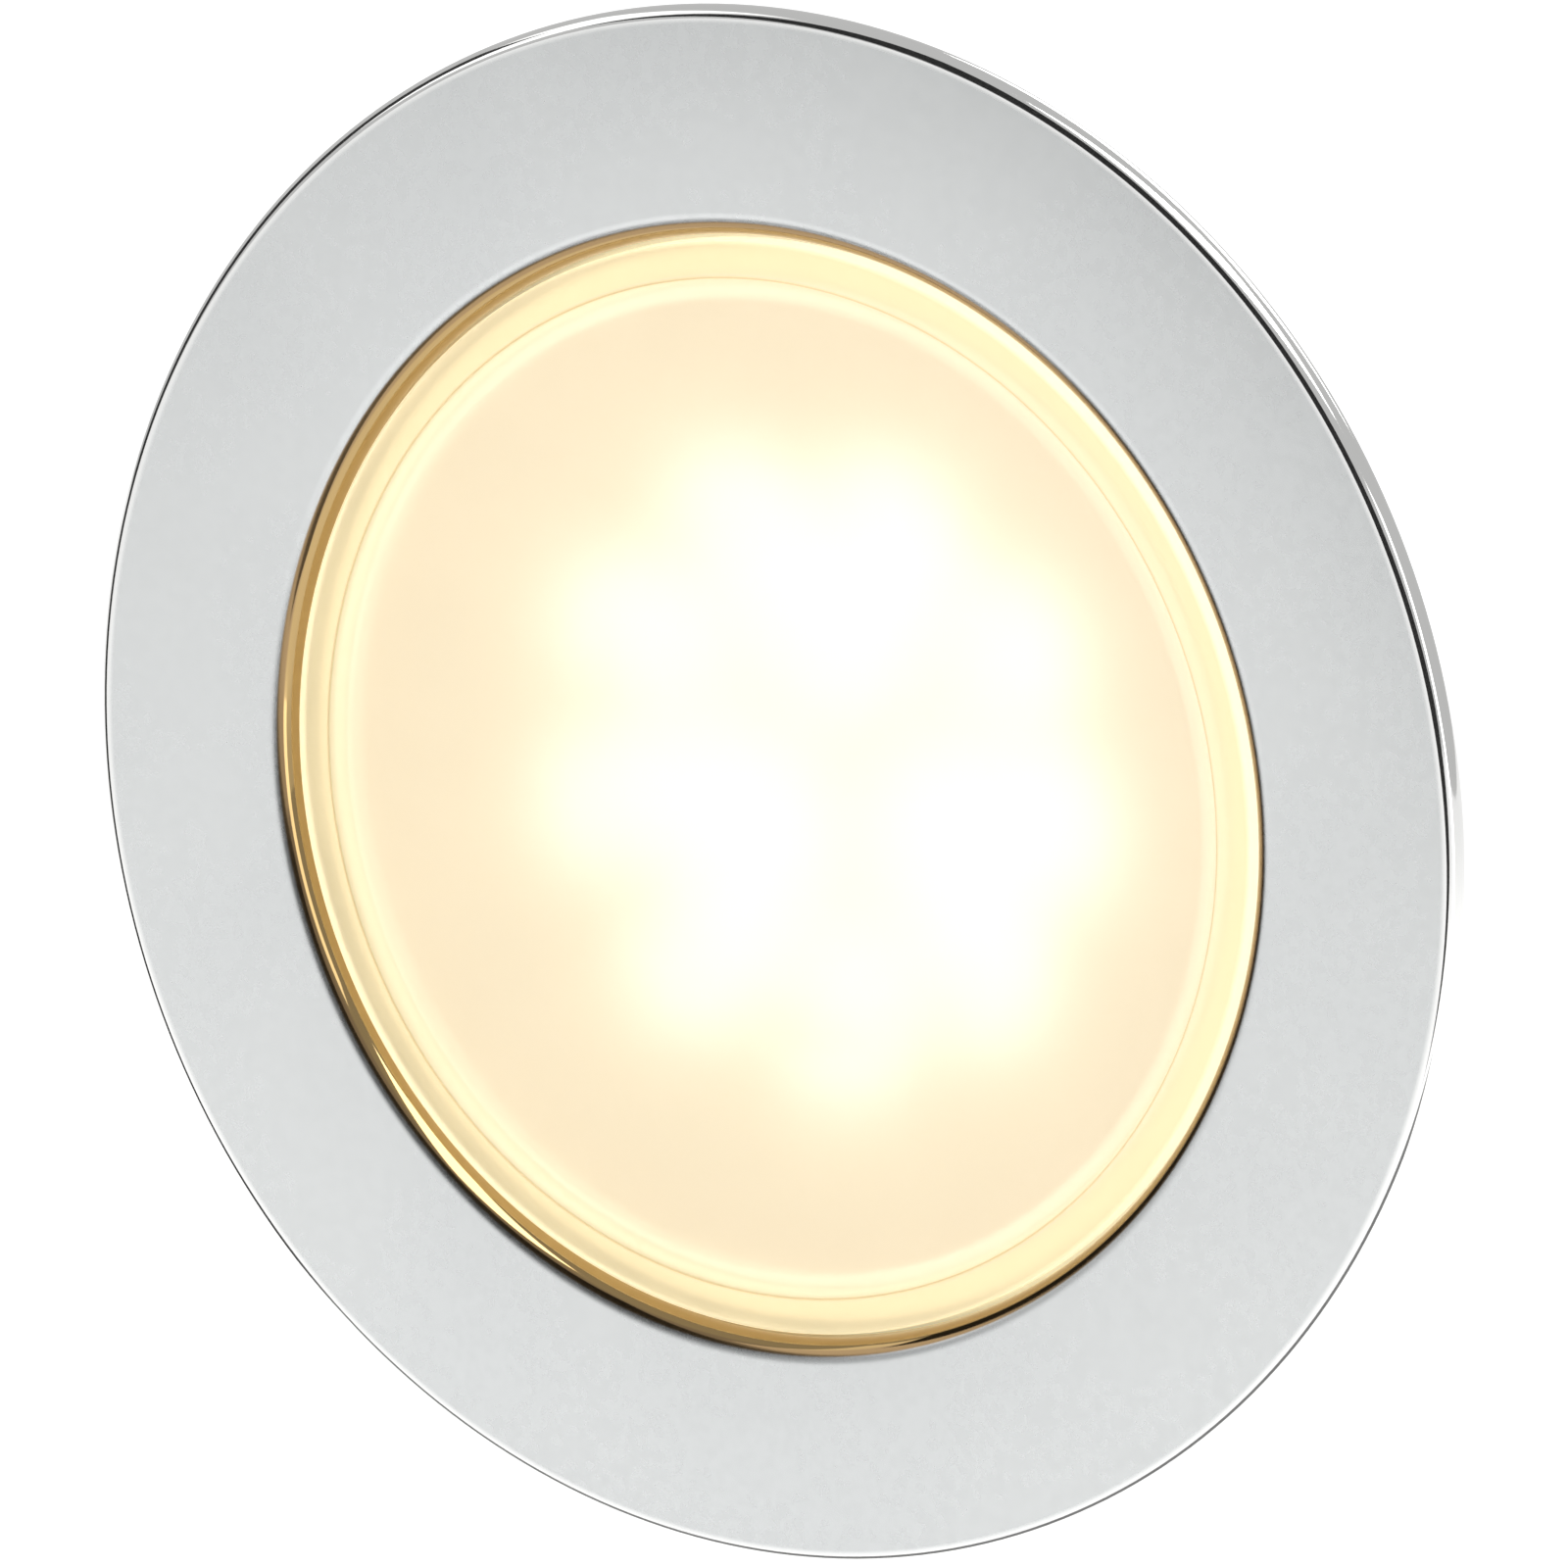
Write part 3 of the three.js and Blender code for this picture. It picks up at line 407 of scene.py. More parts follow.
class Shader:
    """A material's node tree, with short ways to add what the finishes below share."""

    def __init__(self, name, **inputs):
        self.material = bpy.data.materials.new(name)
        self.material.use_nodes = True
        self.tree = self.material.node_tree
        self.surface = self.tree.nodes["Principled BSDF"]
        self.set(**inputs)
        self.place = self.node("ShaderNodeTexCoord").outputs["Object"]

    def node(self, kind, **settings):
        made = self.tree.nodes.new(kind)
        for key, value in settings.items():
            setattr(made, key, value)
        return made

    def put(self, value, socket):
        """Sets a socket to a number or colour, or links an output to it."""
        if isinstance(value, bpy.types.NodeSocket):
            self.tree.links.new(value, socket)
        elif isinstance(value, tuple) and len(value) == 3:
            socket.default_value = (*value, 1)
        else:
            socket.default_value = value

    def set(self, **values):
        for key, value in values.items():
            self.put(value, self.surface.inputs[key.replace("_", " ")])
        return self.material

    def math(self, operation, *values):
        made = self.node("ShaderNodeMath", operation=operation)
        for value, socket in zip(values, made.inputs):
            self.put(value, socket)
        return made.outputs[0]

    def noise(self, scale, detail=3.0, stretch=(1, 1, 1)):
        """Noise of that many cells per metre, stretched along an axis where its number is under 1."""
        mapping = self.node("ShaderNodeMapping")
        mapping.inputs["Scale"].default_value = stretch
        made = self.node("ShaderNodeTexNoise")
        self.put(self.place, mapping.inputs["Vector"])
        self.put(mapping.outputs[0], made.inputs["Vector"])
        self.put(scale, made.inputs["Scale"])
        self.put(detail, made.inputs["Detail"])
        return made.outputs["Fac"]

    def spread(self, value, low, high, to_low=0.0, to_high=1.0):
        """Maps one range to another with eased ends, and holds it there beyond them."""
        made = self.node("ShaderNodeMapRange", interpolation_type="SMOOTHSTEP", clamp=True)
        for socket, item in zip(made.inputs, (value, low, high, to_low, to_high)):
            self.put(item, socket)
        return made.outputs["Result"]

    def mix(self, share, first, second):
        made = self.node("ShaderNodeMix", data_type="RGBA")
        self.put(share, made.inputs["Factor"])
        colours = [socket for socket in made.inputs if socket.type == "RGBA"]
        self.put(first, colours[0])
        self.put(second, colours[1])
        return next(socket for socket in made.outputs if socket.type == "RGBA")

    def cloudy(self, noise, first, second):
        return self.mix(self.spread(noise, 0.35, 0.65), first, second)

    def radius_and_angle(self):
        """Distance from the lamp's axis in millimetres, and the angle about it in radians."""
        parts = self.node("ShaderNodeSeparateXYZ")
        self.put(self.place, parts.inputs[0])
        x, _, z = parts.outputs
        square = self.math("ADD", self.math("MULTIPLY", x, x), self.math("MULTIPLY", z, z))
        return self.math("DIVIDE", self.math("SQRT", square), MM), self.math("ARCTAN2", z, x)

    def bump(self, height, strength, distance):
        made = self.node("ShaderNodeBump")
        self.put(strength, made.inputs["Strength"])
        self.put(distance * MM, made.inputs["Distance"])
        self.put(height, made.inputs["Height"])
        self.put(made.outputs[0], self.surface.inputs["Normal"])


# ---- Metals ----


def rim_steel():
    """Stainless steel with a satin face and a mirror-bright outer edge. The lens's warm light on the lip is
    painted into its colour: a painted gold reflection by the aperture, then a painted brown line.
    """
    steel = Shader("rim_steel", Metallic=1.0)
    radius, _ = steel.radius_and_angle()
    cloud = steel.noise(60, 4)
    grain = steel.noise(1500, 1)
    from_lip = steel.spread(radius, FACE_START - 1.0, FACE_START - 0.45)
    to_edge = steel.spread(radius, FACE_END - 0.3, FACE_END + 0.1, 1.0, 0.0)
    satin = steel.math("MULTIPLY", from_lip, to_edge)
    coarse = steel.spread(cloud, 0.3, 0.7, 0.20, 0.235)
    fine = steel.spread(grain, 0.3, 0.7, -0.012, 0.012)
    rough = steel.math("ADD", steel.math("MULTIPLY", satin, steel.math("ADD", coarse, fine)), 0.06)
    face = steel.cloudy(cloud, (0.585, 0.598, 0.597), (0.615, 0.628, 0.625))
    polished = steel.mix(satin, (0.74, 0.74, 0.73), face)
    # Painted reflection of the lens's warm light: the lip is tinted gold by the aperture and brown just
    # beyond it.
    fold = steel.spread(radius, APERTURE + 0.50, APERTURE + 0.62)
    lit = steel.mix(fold, (0.36, 0.25, 0.11), (0.27, 0.18, 0.09))
    colour = steel.mix(steel.spread(radius, APERTURE + 0.85, APERTURE + 1.0), lit, polished)
    steel.bump(grain, 0.02, 0.01)
    return steel.set(Base_Color=colour, Roughness=rough)


def metal(name, dark, light, rough_low, rough_high, cloud_scale, grain_scale, grain_depth, stretch=(1, 1, 1)):
    made = Shader(name, Metallic=1.0)
    cloud = made.noise(cloud_scale, 4)
    grain = made.noise(grain_scale, 3, stretch)
    stain = made.spread(made.noise(35, 5), 0.60, 0.72)
    colour = made.mix(stain, made.cloudy(cloud, dark, light), tuple(0.9 * c for c in dark))
    rough = made.math("ADD", made.spread(cloud, 0.25, 0.75, rough_low, rough_high),
                      made.math("MULTIPLY", stain, 0.08))
    made.bump(grain, 0.3, grain_depth)
    return made.set(Base_Color=colour, Roughness=rough)


# ---- Rubber, plastic and driver parts ----


def dull(name, dark, light, rough_low, rough_high, scale=900, depth=0.05, **inputs):
    made = Shader(name, **inputs)
    grain = made.noise(scale, 4)
    colour = made.cloudy(made.noise(scale / 8, 3), dark, light)
    made.bump(grain, 0.4, depth)
    return made.set(Base_Color=colour, Roughness=made.spread(grain, 0.3, 0.7, rough_low, rough_high))


# ---- Light. The glow on the lens, the reflector and the board is painted light; the LEDs glow with their own light ----

PEACH = (1.0, 0.81, 0.545)
CREAM = (1.0, 0.93, 0.66)
GOLD = (1.0, 0.85, 0.50)
NEAR_WHITE = (1.0, 0.99, 0.93)
WALL_POWER = 0.40
LED_POWER = 0.91
CORE_GLOW = 0.22
LENS_GLOW = 0.14
BAND_GLOW = 0.21
PAINTED_HIGHLIGHT_GLOW = 0.08
GLOW_IN_PAINTED_CREASE_SHADE = 0.3
GLOW_SIZE = 3.5


def glow(shader, radius, angle):
    """How near a place is to the LEDs."""
    total = 0.0
    for count, ring_radius, first in LED_RINGS:
        half = math.pi / count
        turn = shader.math("WRAP", shader.math("SUBTRACT", angle, first), half, -half)
        outward = shader.math("MULTIPLY", radius, shader.math("COSINE", turn))
        along = shader.math("SUBTRACT", outward, ring_radius)
        across = shader.math("MULTIPLY", radius, shader.math("SINE", turn))
        square = shader.math("ADD", shader.math("MULTIPLY", along, along),
                             shader.math("MULTIPLY", across, across))
        spot = shader.math("EXPONENT", shader.math("MULTIPLY", square, -0.5 / GLOW_SIZE ** 2))
        total = shader.math("ADD", total, spot)
    return total


def led_and_painted_glow_surface(name, light, dark, roughness):
    """A white surface in the light box: bright round each LED, cream between them and peach beyond. On the
    reflector and the board this glow is painted light from the LEDs; on the LED packages it is their own
    light.
    """
    surface = Shader(name, Roughness=roughness)
    radius, angle = surface.radius_and_angle()
    core = surface.spread(radius, LED_RING_RADIUS - 6, LED_RING_RADIUS + 4, CORE_GLOW, 0.0)
    spots = surface.math("ADD", glow(surface, radius, angle), core)
    wall = surface.mix(surface.spread(radius, LED_RING_RADIUS + 1, REFLECTOR_RADIUS), CREAM, PEACH)
    lit = surface.mix(surface.spread(spots, 0.02, 0.6), wall, NEAR_WHITE)
    share = surface.math("MINIMUM", surface.math("DIVIDE", spots, 0.9), 1.0)
    power = surface.math("ADD", WALL_POWER, surface.math("MULTIPLY", share, LED_POWER - WALL_POWER))
    shade = surface.cloudy(surface.noise(150), light, dark)
    return surface.set(Base_Color=shade, Emission_Color=lit, Emission_Strength=power)


def lens_plastic():
    """Frosted polycarbonate. It passes the LEDs' light, and it also glows with painted light: peach in the
    dish, gold in the outer band, with a painted highlight on the dish's curved edge and a painted shade line
    in the crease.
    """
    lens = Shader("lens_plastic", IOR=1.58, Roughness=0.48, Transmission_Weight=1.0)
    radius, _ = lens.radius_and_angle()
    band = lens.spread(radius, DISC_RADIUS - 0.25, DISC_RADIUS + 0.05)
    # Painted highlight: the dish's curved edge glows cream.
    curve = lens.math("MULTIPLY", lens.spread(radius, DISC_RADIUS - 1.5, DISC_RADIUS - 1.1),
                      lens.math("SUBTRACT", 1.0, band))
    # Painted glow: peach in the dish and gold in the band, added to the LEDs' light that passes through.
    glowing = lens.mix(curve, lens.mix(band, PEACH, GOLD), CREAM)
    # Painted shade: a thin line in the crease between the dish and the band, with less glow and a darker
    # tint.
    crease = lens.math("MULTIPLY", lens.spread(radius, DISC_RADIUS - 0.08, DISC_RADIUS + 0.02),
                       lens.spread(radius, DISC_RADIUS + 0.04, DISC_RADIUS + 0.16, 1.0, 0.0))
    power = lens.spread(band, 0.0, 1.0, LENS_GLOW, BAND_GLOW)
    power = lens.math("ADD", power, lens.math("MULTIPLY", curve, PAINTED_HIGHLIGHT_GLOW))
    power = lens.math("MULTIPLY", power, lens.spread(crease, 0.0, 1.0, 1.0, GLOW_IN_PAINTED_CREASE_SHADE))
    # The band's yellower tint goes with its painted gold glow.
    tint = lens.mix(band, (1.0, 0.97, 0.9), (1.0, 0.94, 0.78))
    # Painted shade: the darker tint in the crease.
    tint = lens.mix(crease, tint, (0.80, 0.66, 0.45))
    lens.bump(lens.noise(2600, 2), 0.08, 0.02)
    return lens.set(Base_Color=tint, Emission_Color=glowing, Emission_Strength=power)


STEEL = rim_steel()
CASTING = metal("cast_aluminium", (0.46, 0.465, 0.47), (0.58, 0.585, 0.59), 0.38, 0.55, 120, 1100, 0.14)
PLATED = metal("bracket_steel", (0.60, 0.62, 0.64), (0.73, 0.74, 0.73), 0.20, 0.34, 240, 1500, 0.02,
               stretch=(1, 1, 0.08))
SPRING = metal("spring_steel", (0.42, 0.425, 0.43), (0.56, 0.565, 0.57), 0.16, 0.30, 500, 2500, 0.01)
RUBBER = dull("black_rubber", (0.018, 0.018, 0.019), (0.035, 0.035, 0.036), 0.55, 0.80)
FOAM = dull("foam_gasket", (0.016, 0.016, 0.017), (0.030, 0.030, 0.031), 0.75, 0.95, 1800, 0.15)
VINYL = dull("clear_vinyl", (0.66, 0.68, 0.68), (0.80, 0.81, 0.81), 0.18, 0.30, 700, 0.01,
             IOR=1.5, Transmission_Weight=0.35)
EPOXY = dull("black_epoxy", (0.02, 0.02, 0.022), (0.04, 0.04, 0.043), 0.40, 0.55)
FERRITE = dull("ferrite", (0.035, 0.035, 0.037), (0.06, 0.06, 0.062), 0.55, 0.75)
CERAMIC = dull("capacitor_ceramic", (0.36, 0.25, 0.15), (0.46, 0.33, 0.21), 0.35, 0.50)
TERMINAL = dull("terminal_plastic", (0.75, 0.75, 0.72), (0.84, 0.84, 0.81), 0.35, 0.50)
PAD = dull("thermal_pad", (0.24, 0.26, 0.29), (0.32, 0.34, 0.37), 0.70, 0.90, 1200)
LENS = lens_plastic()
# The reflector and the board glow with painted light from the LEDs; the LED packages glow with their own.
REFLECTOR = led_and_painted_glow_surface("reflector_plastic", (0.22, 0.22, 0.21), (0.20, 0.20, 0.19), 0.35)
SOLDER_MASK = led_and_painted_glow_surface("white_solder_mask", (0.22, 0.22, 0.21), (0.20, 0.20, 0.19), 0.40)
LED_PACKAGE = led_and_painted_glow_surface("led_package", (0.30, 0.26, 0.18), (0.27, 0.23, 0.16), 0.40)

# ---- Lamp ----


def rim_shape():
    lip = (FACE_START, FACE_Y + RIM_LIP_RADIUS)
    edge = (FACE_END, FACE_Y + RIM_EDGE_RADIUS)
    end_radius = RIM_BACK - edge[1]
    return turned([
        (APERTURE, WALL_END),
        *arc(*lip, RIM_LIP_RADIUS, 180, 270, 20),
        *arc(*edge, RIM_EDGE_RADIUS, -90, 0, 14),
        *arc(RIM_RADIUS - end_radius, edge[1], end_radius, 0, 90, 12)[1:],
        (CRIMP_RADIUS, RIM_BACK),
        (CRIMP_RADIUS, RIM_BACK - RIM_END),
        (RIM_RADIUS - RIM_SHEET, edge[1] + SEAT),
        *arc(*edge, RIM_EDGE_RADIUS - RIM_SHEET, 0, -90, 6),
        *arc(*lip, RIM_LIP_RADIUS - RIM_SHEET, 270, 180, 10),
        (APERTURE + RIM_SHEET, WALL_END),
    ])


def lens_shape():
    disc = LENS_BAND + LENS_DISH
    flange = LENS_BACK - LENS_FLANGE
    sweep = math.acos(1 - LENS_DISH / LENS_FILLET)
    centre = (DISC_RADIUS - LENS_FILLET * math.sin(sweep), disc - LENS_FILLET)
    return turned([
        (0, disc),
        (centre[0] / 2, disc),
        *arc(*centre, LENS_FILLET, 90, 90 - math.degrees(sweep), 12),
        *arc(LENS_RADIUS - LENS_EDGE, LENS_BAND + LENS_EDGE, LENS_EDGE, -90, 0, 6),
        (LENS_RADIUS, flange),
        (LENS_FLANGE_RADIUS, flange),
        (LENS_FLANGE_RADIUS, LENS_BACK),
        (0, LENS_BACK),
    ])


def reflector_shape():
    """The cone, with a lip at its foot that covers the board's edge and the cable's notch."""
    halfway = (THROAT_RADIUS + REFLECTOR_RADIUS) / 2
    lip = THROAT_RADIUS - FOOT_LIP_WIDTH
    return turned([
        (ring("reflector", inside=halfway)[0], REFLECTOR_FRONT),
        (REFLECTOR_RADIUS, REFLECTOR_FRONT),
        (REFLECTOR_RADIUS, REFLECTOR_CONE),
        (ring("reflector", outside=halfway)[1], THROAT_END),
        (lip, THROAT_END),
        (lip, THROAT_END - FOOT_LIP_THICKNESS),
        (THROAT_RADIUS, THROAT_END - FOOT_LIP_THICKNESS - SEAT / 2),
    ])


def gasket_shape():
    inner, outer, front, back = ring("panel_gasket")
    return turned(eased([(inner, front), (outer, front), (outer, back), (inner, back)], 0.25))


def rod(radius, low, high, x=0, z=0, segments=HOLE_SEGMENTS):
    upright = turned([(0, low), (radius, low), (radius, high), (0, high)], segments)
    return moved(upright, Matrix.Translation((x, 0, z)))


def fins():
    for i in range(FIN_COUNT):
        x = (i / (FIN_COUNT - 1) - 0.5) * FIN_SPAN
        top = math.sqrt((BODY_RADIUS - FIN_MARGIN) ** 2 - x ** 2)
        half = FIN_THICKNESS / 2
        yield block((x - half, BACK - FIN_BITE, FIN_BOTTOM), (x + half, FIN_BACK, top), FIN_ROUNDING)


def body_shape():
    shell = turned(eased([
        (0, FLOOR),
        (CHAMBER_RADIUS, FLOOR),
        (CHAMBER_RADIUS, SHOULDER),
        (SHELF_RADIUS, REFLECTOR_CONE + FIT),
        (SHELF_RADIUS, SHELF),
        (SEAL_START - SEAT, SHELF),
        (SEAL_START - SEAT, GROOVE_BACK),
        (SEAL_END + SEAT, GROOVE_BACK),
        (SEAL_END + SEAT, SHELF),
        (POCKET_RADIUS, SHELF),
        (POCKET_RADIUS, FLANGE_FRONT),
        (FLANGE_RADIUS - FLANGE_FRONT_CHAMFER, FLANGE_FRONT),
        (FLANGE_RADIUS, FLANGE_FRONT + FLANGE_FRONT_CHAMFER),
        (FLANGE_RADIUS, FLANGE_BACK - FLANGE_BACK_CHAMFER),
        (FLANGE_RADIUS - FLANGE_BACK_CHAMFER, FLANGE_BACK),
        (COLLAR_RADIUS, FLANGE_BACK),
        (COLLAR_RADIUS, COLLAR_END),
        (BODY_RADIUS, TAPER_END),
        (BODY_RADIUS, BACK - BODY_CHAMFER),
        (BODY_RADIUS - BODY_CHAMFER, BACK),
        (0, BACK),
    ], 0.3, 3), BODY_SEGMENTS)
    hole = SCREW_RADIUS + SEAT
    holes = [rod(NECK_RADIUS + SEAT, FLOOR - OVERCUT, BACK + OVERCUT, 0, INLET_Z, GROMMET_SEGMENTS)]
    for x in (-CLIP_SCREW_X, CLIP_SCREW_X):
        holes += [rod(hole, BACK - SCREW_BITE, BACK + OVERCUT, x, z) for z in (-CLIP_SCREW_Z, CLIP_SCREW_Z)]
    for number in (1, 2, 3):
        x, _, z = middle(f"board_screw_{number}")
        holes.append(rod(hole, FLOOR - OVERCUT, FLOOR + SCREW_BITE, x, z))
    return cut(joined(uneven(shell), *fins()), *holes)


def grommet_shape():
    lip = NECK_RADIUS + GROMMET_LIP
    _, _, front, back = ring("cable_grommet")
    profile = [(BORE_RADIUS, front), (lip, front), (lip, FLOOR - SEAT), (NECK_RADIUS, FLOOR - SEAT),
               (NECK_RADIUS, BACK + SEAT), (lip, BACK + SEAT), (lip, back), (BORE_RADIUS, back)]
    return moved(turned(eased(profile, 0.3, 5), GROMMET_SEGMENTS), Matrix.Translation((0, 0, INLET_Z)))


add_piece("rim_ring", rim_shape(), STEEL, ["rim"])
add_piece("lens_disc", lens_shape(), LENS, ["lens"], crease=LENS_CREASE_ANGLE)
add_piece("reflector_cone", reflector_shape(), REFLECTOR, ["reflector"])
add_piece("gasket_ring", gasket_shape(), FOAM, ["panel_gasket"])
add_piece("body_casting", body_shape(), CASTING, ["body"])
add_piece("grommet_ring", grommet_shape(), RUBBER, ["cable_grommet"])

paint(RUBBER, "lens_seal")
paint(SOLDER_MASK, "led_board")
paint(LED_PACKAGE, *[n for n in frame["nodes"] if n.startswith("led_") and n != "led_board"])
paint(PLATED, *[n for n in frame["nodes"] if n.startswith("board_screw")])
paint(PAD, "thermal_pad")
paint(EPOXY, "bridge_rectifier", "surge_diode", "driver_ic", "sense_resistor_1", "sense_resistor_2")
paint(FERRITE, "power_inductor")
paint(CERAMIC, "input_capacitor", "output_capacitor")
paint(TERMINAL, "wire_terminal")

# ---- Spring clips. The right one is drawn, and the left one is it turned half round Y ----


def at_hinge(x, y, z=0.0):
    return Vector((HINGE.x + x, HINGE.y + y, z))


def beside_arm(along, across, z):
    """A place measured from the hinge along the arm at rest and square to it."""
    c, s = math.cos(ARM_ANGLE), math.sin(ARM_ANGLE)
    return at_hinge(along * c - across * s, along * s + across * c, z)


def bracket_shape():
    web_end = HINGE.y - EYE_RADIUS
    web_x = PLATE_END - CLIP_SHEET
    plate = slab([
        (PLATE_START, PLATE_BACK - CLIP_SHEET),
        (web_x, PLATE_BACK - CLIP_SHEET),
        (web_x, web_end),
        (PLATE_END, web_end),
        *arc(PLATE_END - BEND_RADIUS, PLATE_BACK - BEND_RADIUS, BEND_RADIUS, 0, 90, 8),
        (PLATE_START, PLATE_BACK),
    ], -EAR_OUTSIDE, EAR_OUTSIDE)
    ear = [(web_x, web_end), *arc(HINGE.x, HINGE.y, EAR_RADIUS, -90, 90, 24), (web_x, HINGE.y + EAR_RADIUS)]
    ears = [slab(ear, z, z + CLIP_SHEET) for z in (-EAR_OUTSIDE, EAR_INSIDE)]
    through = 2 * EAR_OUTSIDE
    pin_hole = moved(about_z(rod(PIN_HOLE_RADIUS, -through, through)), Matrix.Translation(at_hinge(0, 0)))
    screw_holes = [rod(SCREW_RADIUS + 2 * SEAT, BACK - OVERCUT, PLATE_BACK + OVERCUT, CLIP_SCREW_X, z)
                   for z in (-CLIP_SCREW_Z, CLIP_SCREW_Z)]
    return bevelled(cut(joined(plate, *ears), pin_hole, *screw_holes), 0.1)


def pin_shape():
    shoulder = EAR_OUTSIDE + SEAT
    head = PIN_RADIUS + PIN_HEAD
    end = shoulder + PIN_HEAD
    half = [(head - 0.3, -end), (head, -shoulder - 0.25), (head, -shoulder), (PIN_RADIUS, -shoulder)]
    other = [(r, -y) for r, y in reversed(half)]
    profile = [(0, -end), *half, *other, (0, end)]
    return moved(about_z(turned(eased(profile, 0.2), HOLE_SEGMENTS)), Matrix.Translation(at_hinge(0, 0)))


def arm_shape():
    eye = []
    for i in range(EYE_STEPS + 1):
        angle = math.radians(90 + EYE_TURN * (1 - i / EYE_STEPS))
        eye.append(beside_arm(EYE_RADIUS * math.cos(angle), EYE_RADIUS * math.sin(angle), EYE_OFFSET))
    bend = [beside_arm(along, EYE_RADIUS, z) for along, z in
            arc(ARM_LENGTH - CORNER_RADIUS, EYE_OFFSET - CORNER_RADIUS, CORNER_RADIUS, 90, 0, 10)]
    half = [*eye, beside_arm(ARM_LENGTH * 0.4, EYE_RADIUS, EYE_OFFSET), *bend]
    other = [Vector((p.x, p.y, -p.z)) for p in reversed(half)]
    return wire(smooth_line([*half, *other], 3), WIRE_RADIUS)


def sleeve_shape():
    inner = WIRE_RADIUS + SEAT
    profile = [(inner, -SLEEVE_HALF), (SLEEVE_RADIUS, -SLEEVE_HALF), (SLEEVE_RADIUS, SLEEVE_HALF),
               (inner, SLEEVE_HALF)]
    centre = beside_arm(ARM_LENGTH, EYE_RADIUS, 0)
    return moved(about_z(turned(eased(profile, 0.18), HOLE_SEGMENTS)), Matrix.Translation(centre))


def spring_shape():
    """A leg against the web, the coil round the pin, and a leg along the arm that hooks over its wire."""
    half_run = COIL_TURNS * COIL_PITCH / 2
    web_face = PLATE_END + COIL_WIRE_RADIUS + SEAT
    lean = math.atan2(HINGE.x - COIL_RADIUS - web_face, FIXED_LEG)
    start = math.pi + lean
    wanted = ARM_ANGLE + 2.5 * math.pi
    turn = start - wanted
    sweep = -(turn + 2 * math.pi * round(COIL_TURNS - turn / (2 * math.pi)))
    steps = round(abs(sweep) / (2 * math.pi) * COIL_STEPS)
    coil = []
    for i in range(steps + 1):
        angle = start + sweep * i / steps
        coil.append(at_hinge(COIL_RADIUS * math.cos(angle), COIL_RADIUS * math.sin(angle),
                             half_run * (2 * i / steps - 1)))
    leg = Vector((-math.sin(lean), math.cos(lean), 0)) * FIXED_LEG
    fixed = [coil[0] + leg * share for share in (1, 0.6, 0.25)]
    over = EYE_RADIUS + WIRE_RADIUS + COIL_WIRE_RADIUS + SEAT
    moving = [
        beside_arm(MOVING_LEG * 0.35, COIL_RADIUS + 0.2, half_run),
        beside_arm(MOVING_LEG * 0.7, (COIL_RADIUS + over) / 2, half_run),
        beside_arm(MOVING_LEG * 0.95, over, half_run + COIL_WIRE_RADIUS),
        beside_arm(MOVING_LEG, over, EYE_OFFSET),
        beside_arm(MOVING_LEG, over, EYE_OFFSET + WIRE_RADIUS),
    ]
    coarse = [*smooth_line([*fixed, coil[0]], 6), *coil[1:-1], *smooth_line([coil[-1], *moving], 6)]
    return wire(coarse, COIL_WIRE_RADIUS)


def screw_shape():
    rise = (SCREW_HEAD_HEIGHT - SCREW_HEAD_EDGE) / SCREW_HEAD_RADIUS
    dome = [(r, SCREW_HEAD_EDGE + y * rise) for r, y in arc(0, 0, SCREW_HEAD_RADIUS, 0, 72, 8)]
    shank = CLIP_SHEET + SCREW_BITE - SEAT
    profile = [
        (0, -shank),
        (SCREW_RADIUS, -shank),
        (SCREW_RADIUS, 0),
        (SCREW_HEAD_RADIUS - SCREW_HEAD_CHAMFER, 0),
        (SCREW_HEAD_RADIUS, SCREW_HEAD_CHAMFER),
        *dome,
        (0, SCREW_HEAD_HEIGHT),
    ]
    slots = [block((-a / 2, SLOT_BOTTOM, -b / 2), (a / 2, 2 * SCREW_HEAD_HEIGHT, b / 2))
             for a, b in ((SLOT_LENGTH, SLOT_WIDTH), (SLOT_WIDTH, SLOT_LENGTH))]
    return cut(uneven(turned(profile, SCREW_SEGMENTS)), *slots)


shapes = {"bracket": bracket_shape(), "pin": pin_shape(), "arm": arm_shape(), "sleeve": sleeve_shape(),
          "spring": spring_shape(), "screw": screw_shape()}

for side, turn, up in (("right", Matrix.Identity(4), 1), ("left", Matrix.Rotation(math.pi, 4, "Y"), -1)):
    clip = f"clip_{side}"
    add_piece(f"{clip}_bent_bracket", moved(shapes["bracket"], turn), PLATED, [f"clip_bracket_{side}"])
    add_piece(f"{clip}_rivet", moved(shapes["pin"], turn), PLATED, [f"clip_pin_{side}"])
    add_piece(f"{clip}_wire", moved(shapes["arm"], turn), SPRING, [f"clip_arm_{side}"], clip)
    add_piece(f"{clip}_tube", moved(shapes["sleeve"], turn), VINYL, [f"clip_sleeve_{side}"], clip)
    for number, z in ((1, -CLIP_SCREW_Z), (2, CLIP_SCREW_Z)):
        screw = moved(shapes["screw"], turn @ Matrix.Translation((CLIP_SCREW_X, PLATE_BACK + SEAT, z)))
        add_piece(f"{clip}_panhead_{number}", screw, PLATED, [f"clip_screw_{side}_{number}"])
    coil = add_piece(f"{clip}_coil", moved(shapes["spring"], turn), SPRING, [f"clip_spring_{side}"], None)
    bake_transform(coil)

# ---- Floor, lights and camera ----

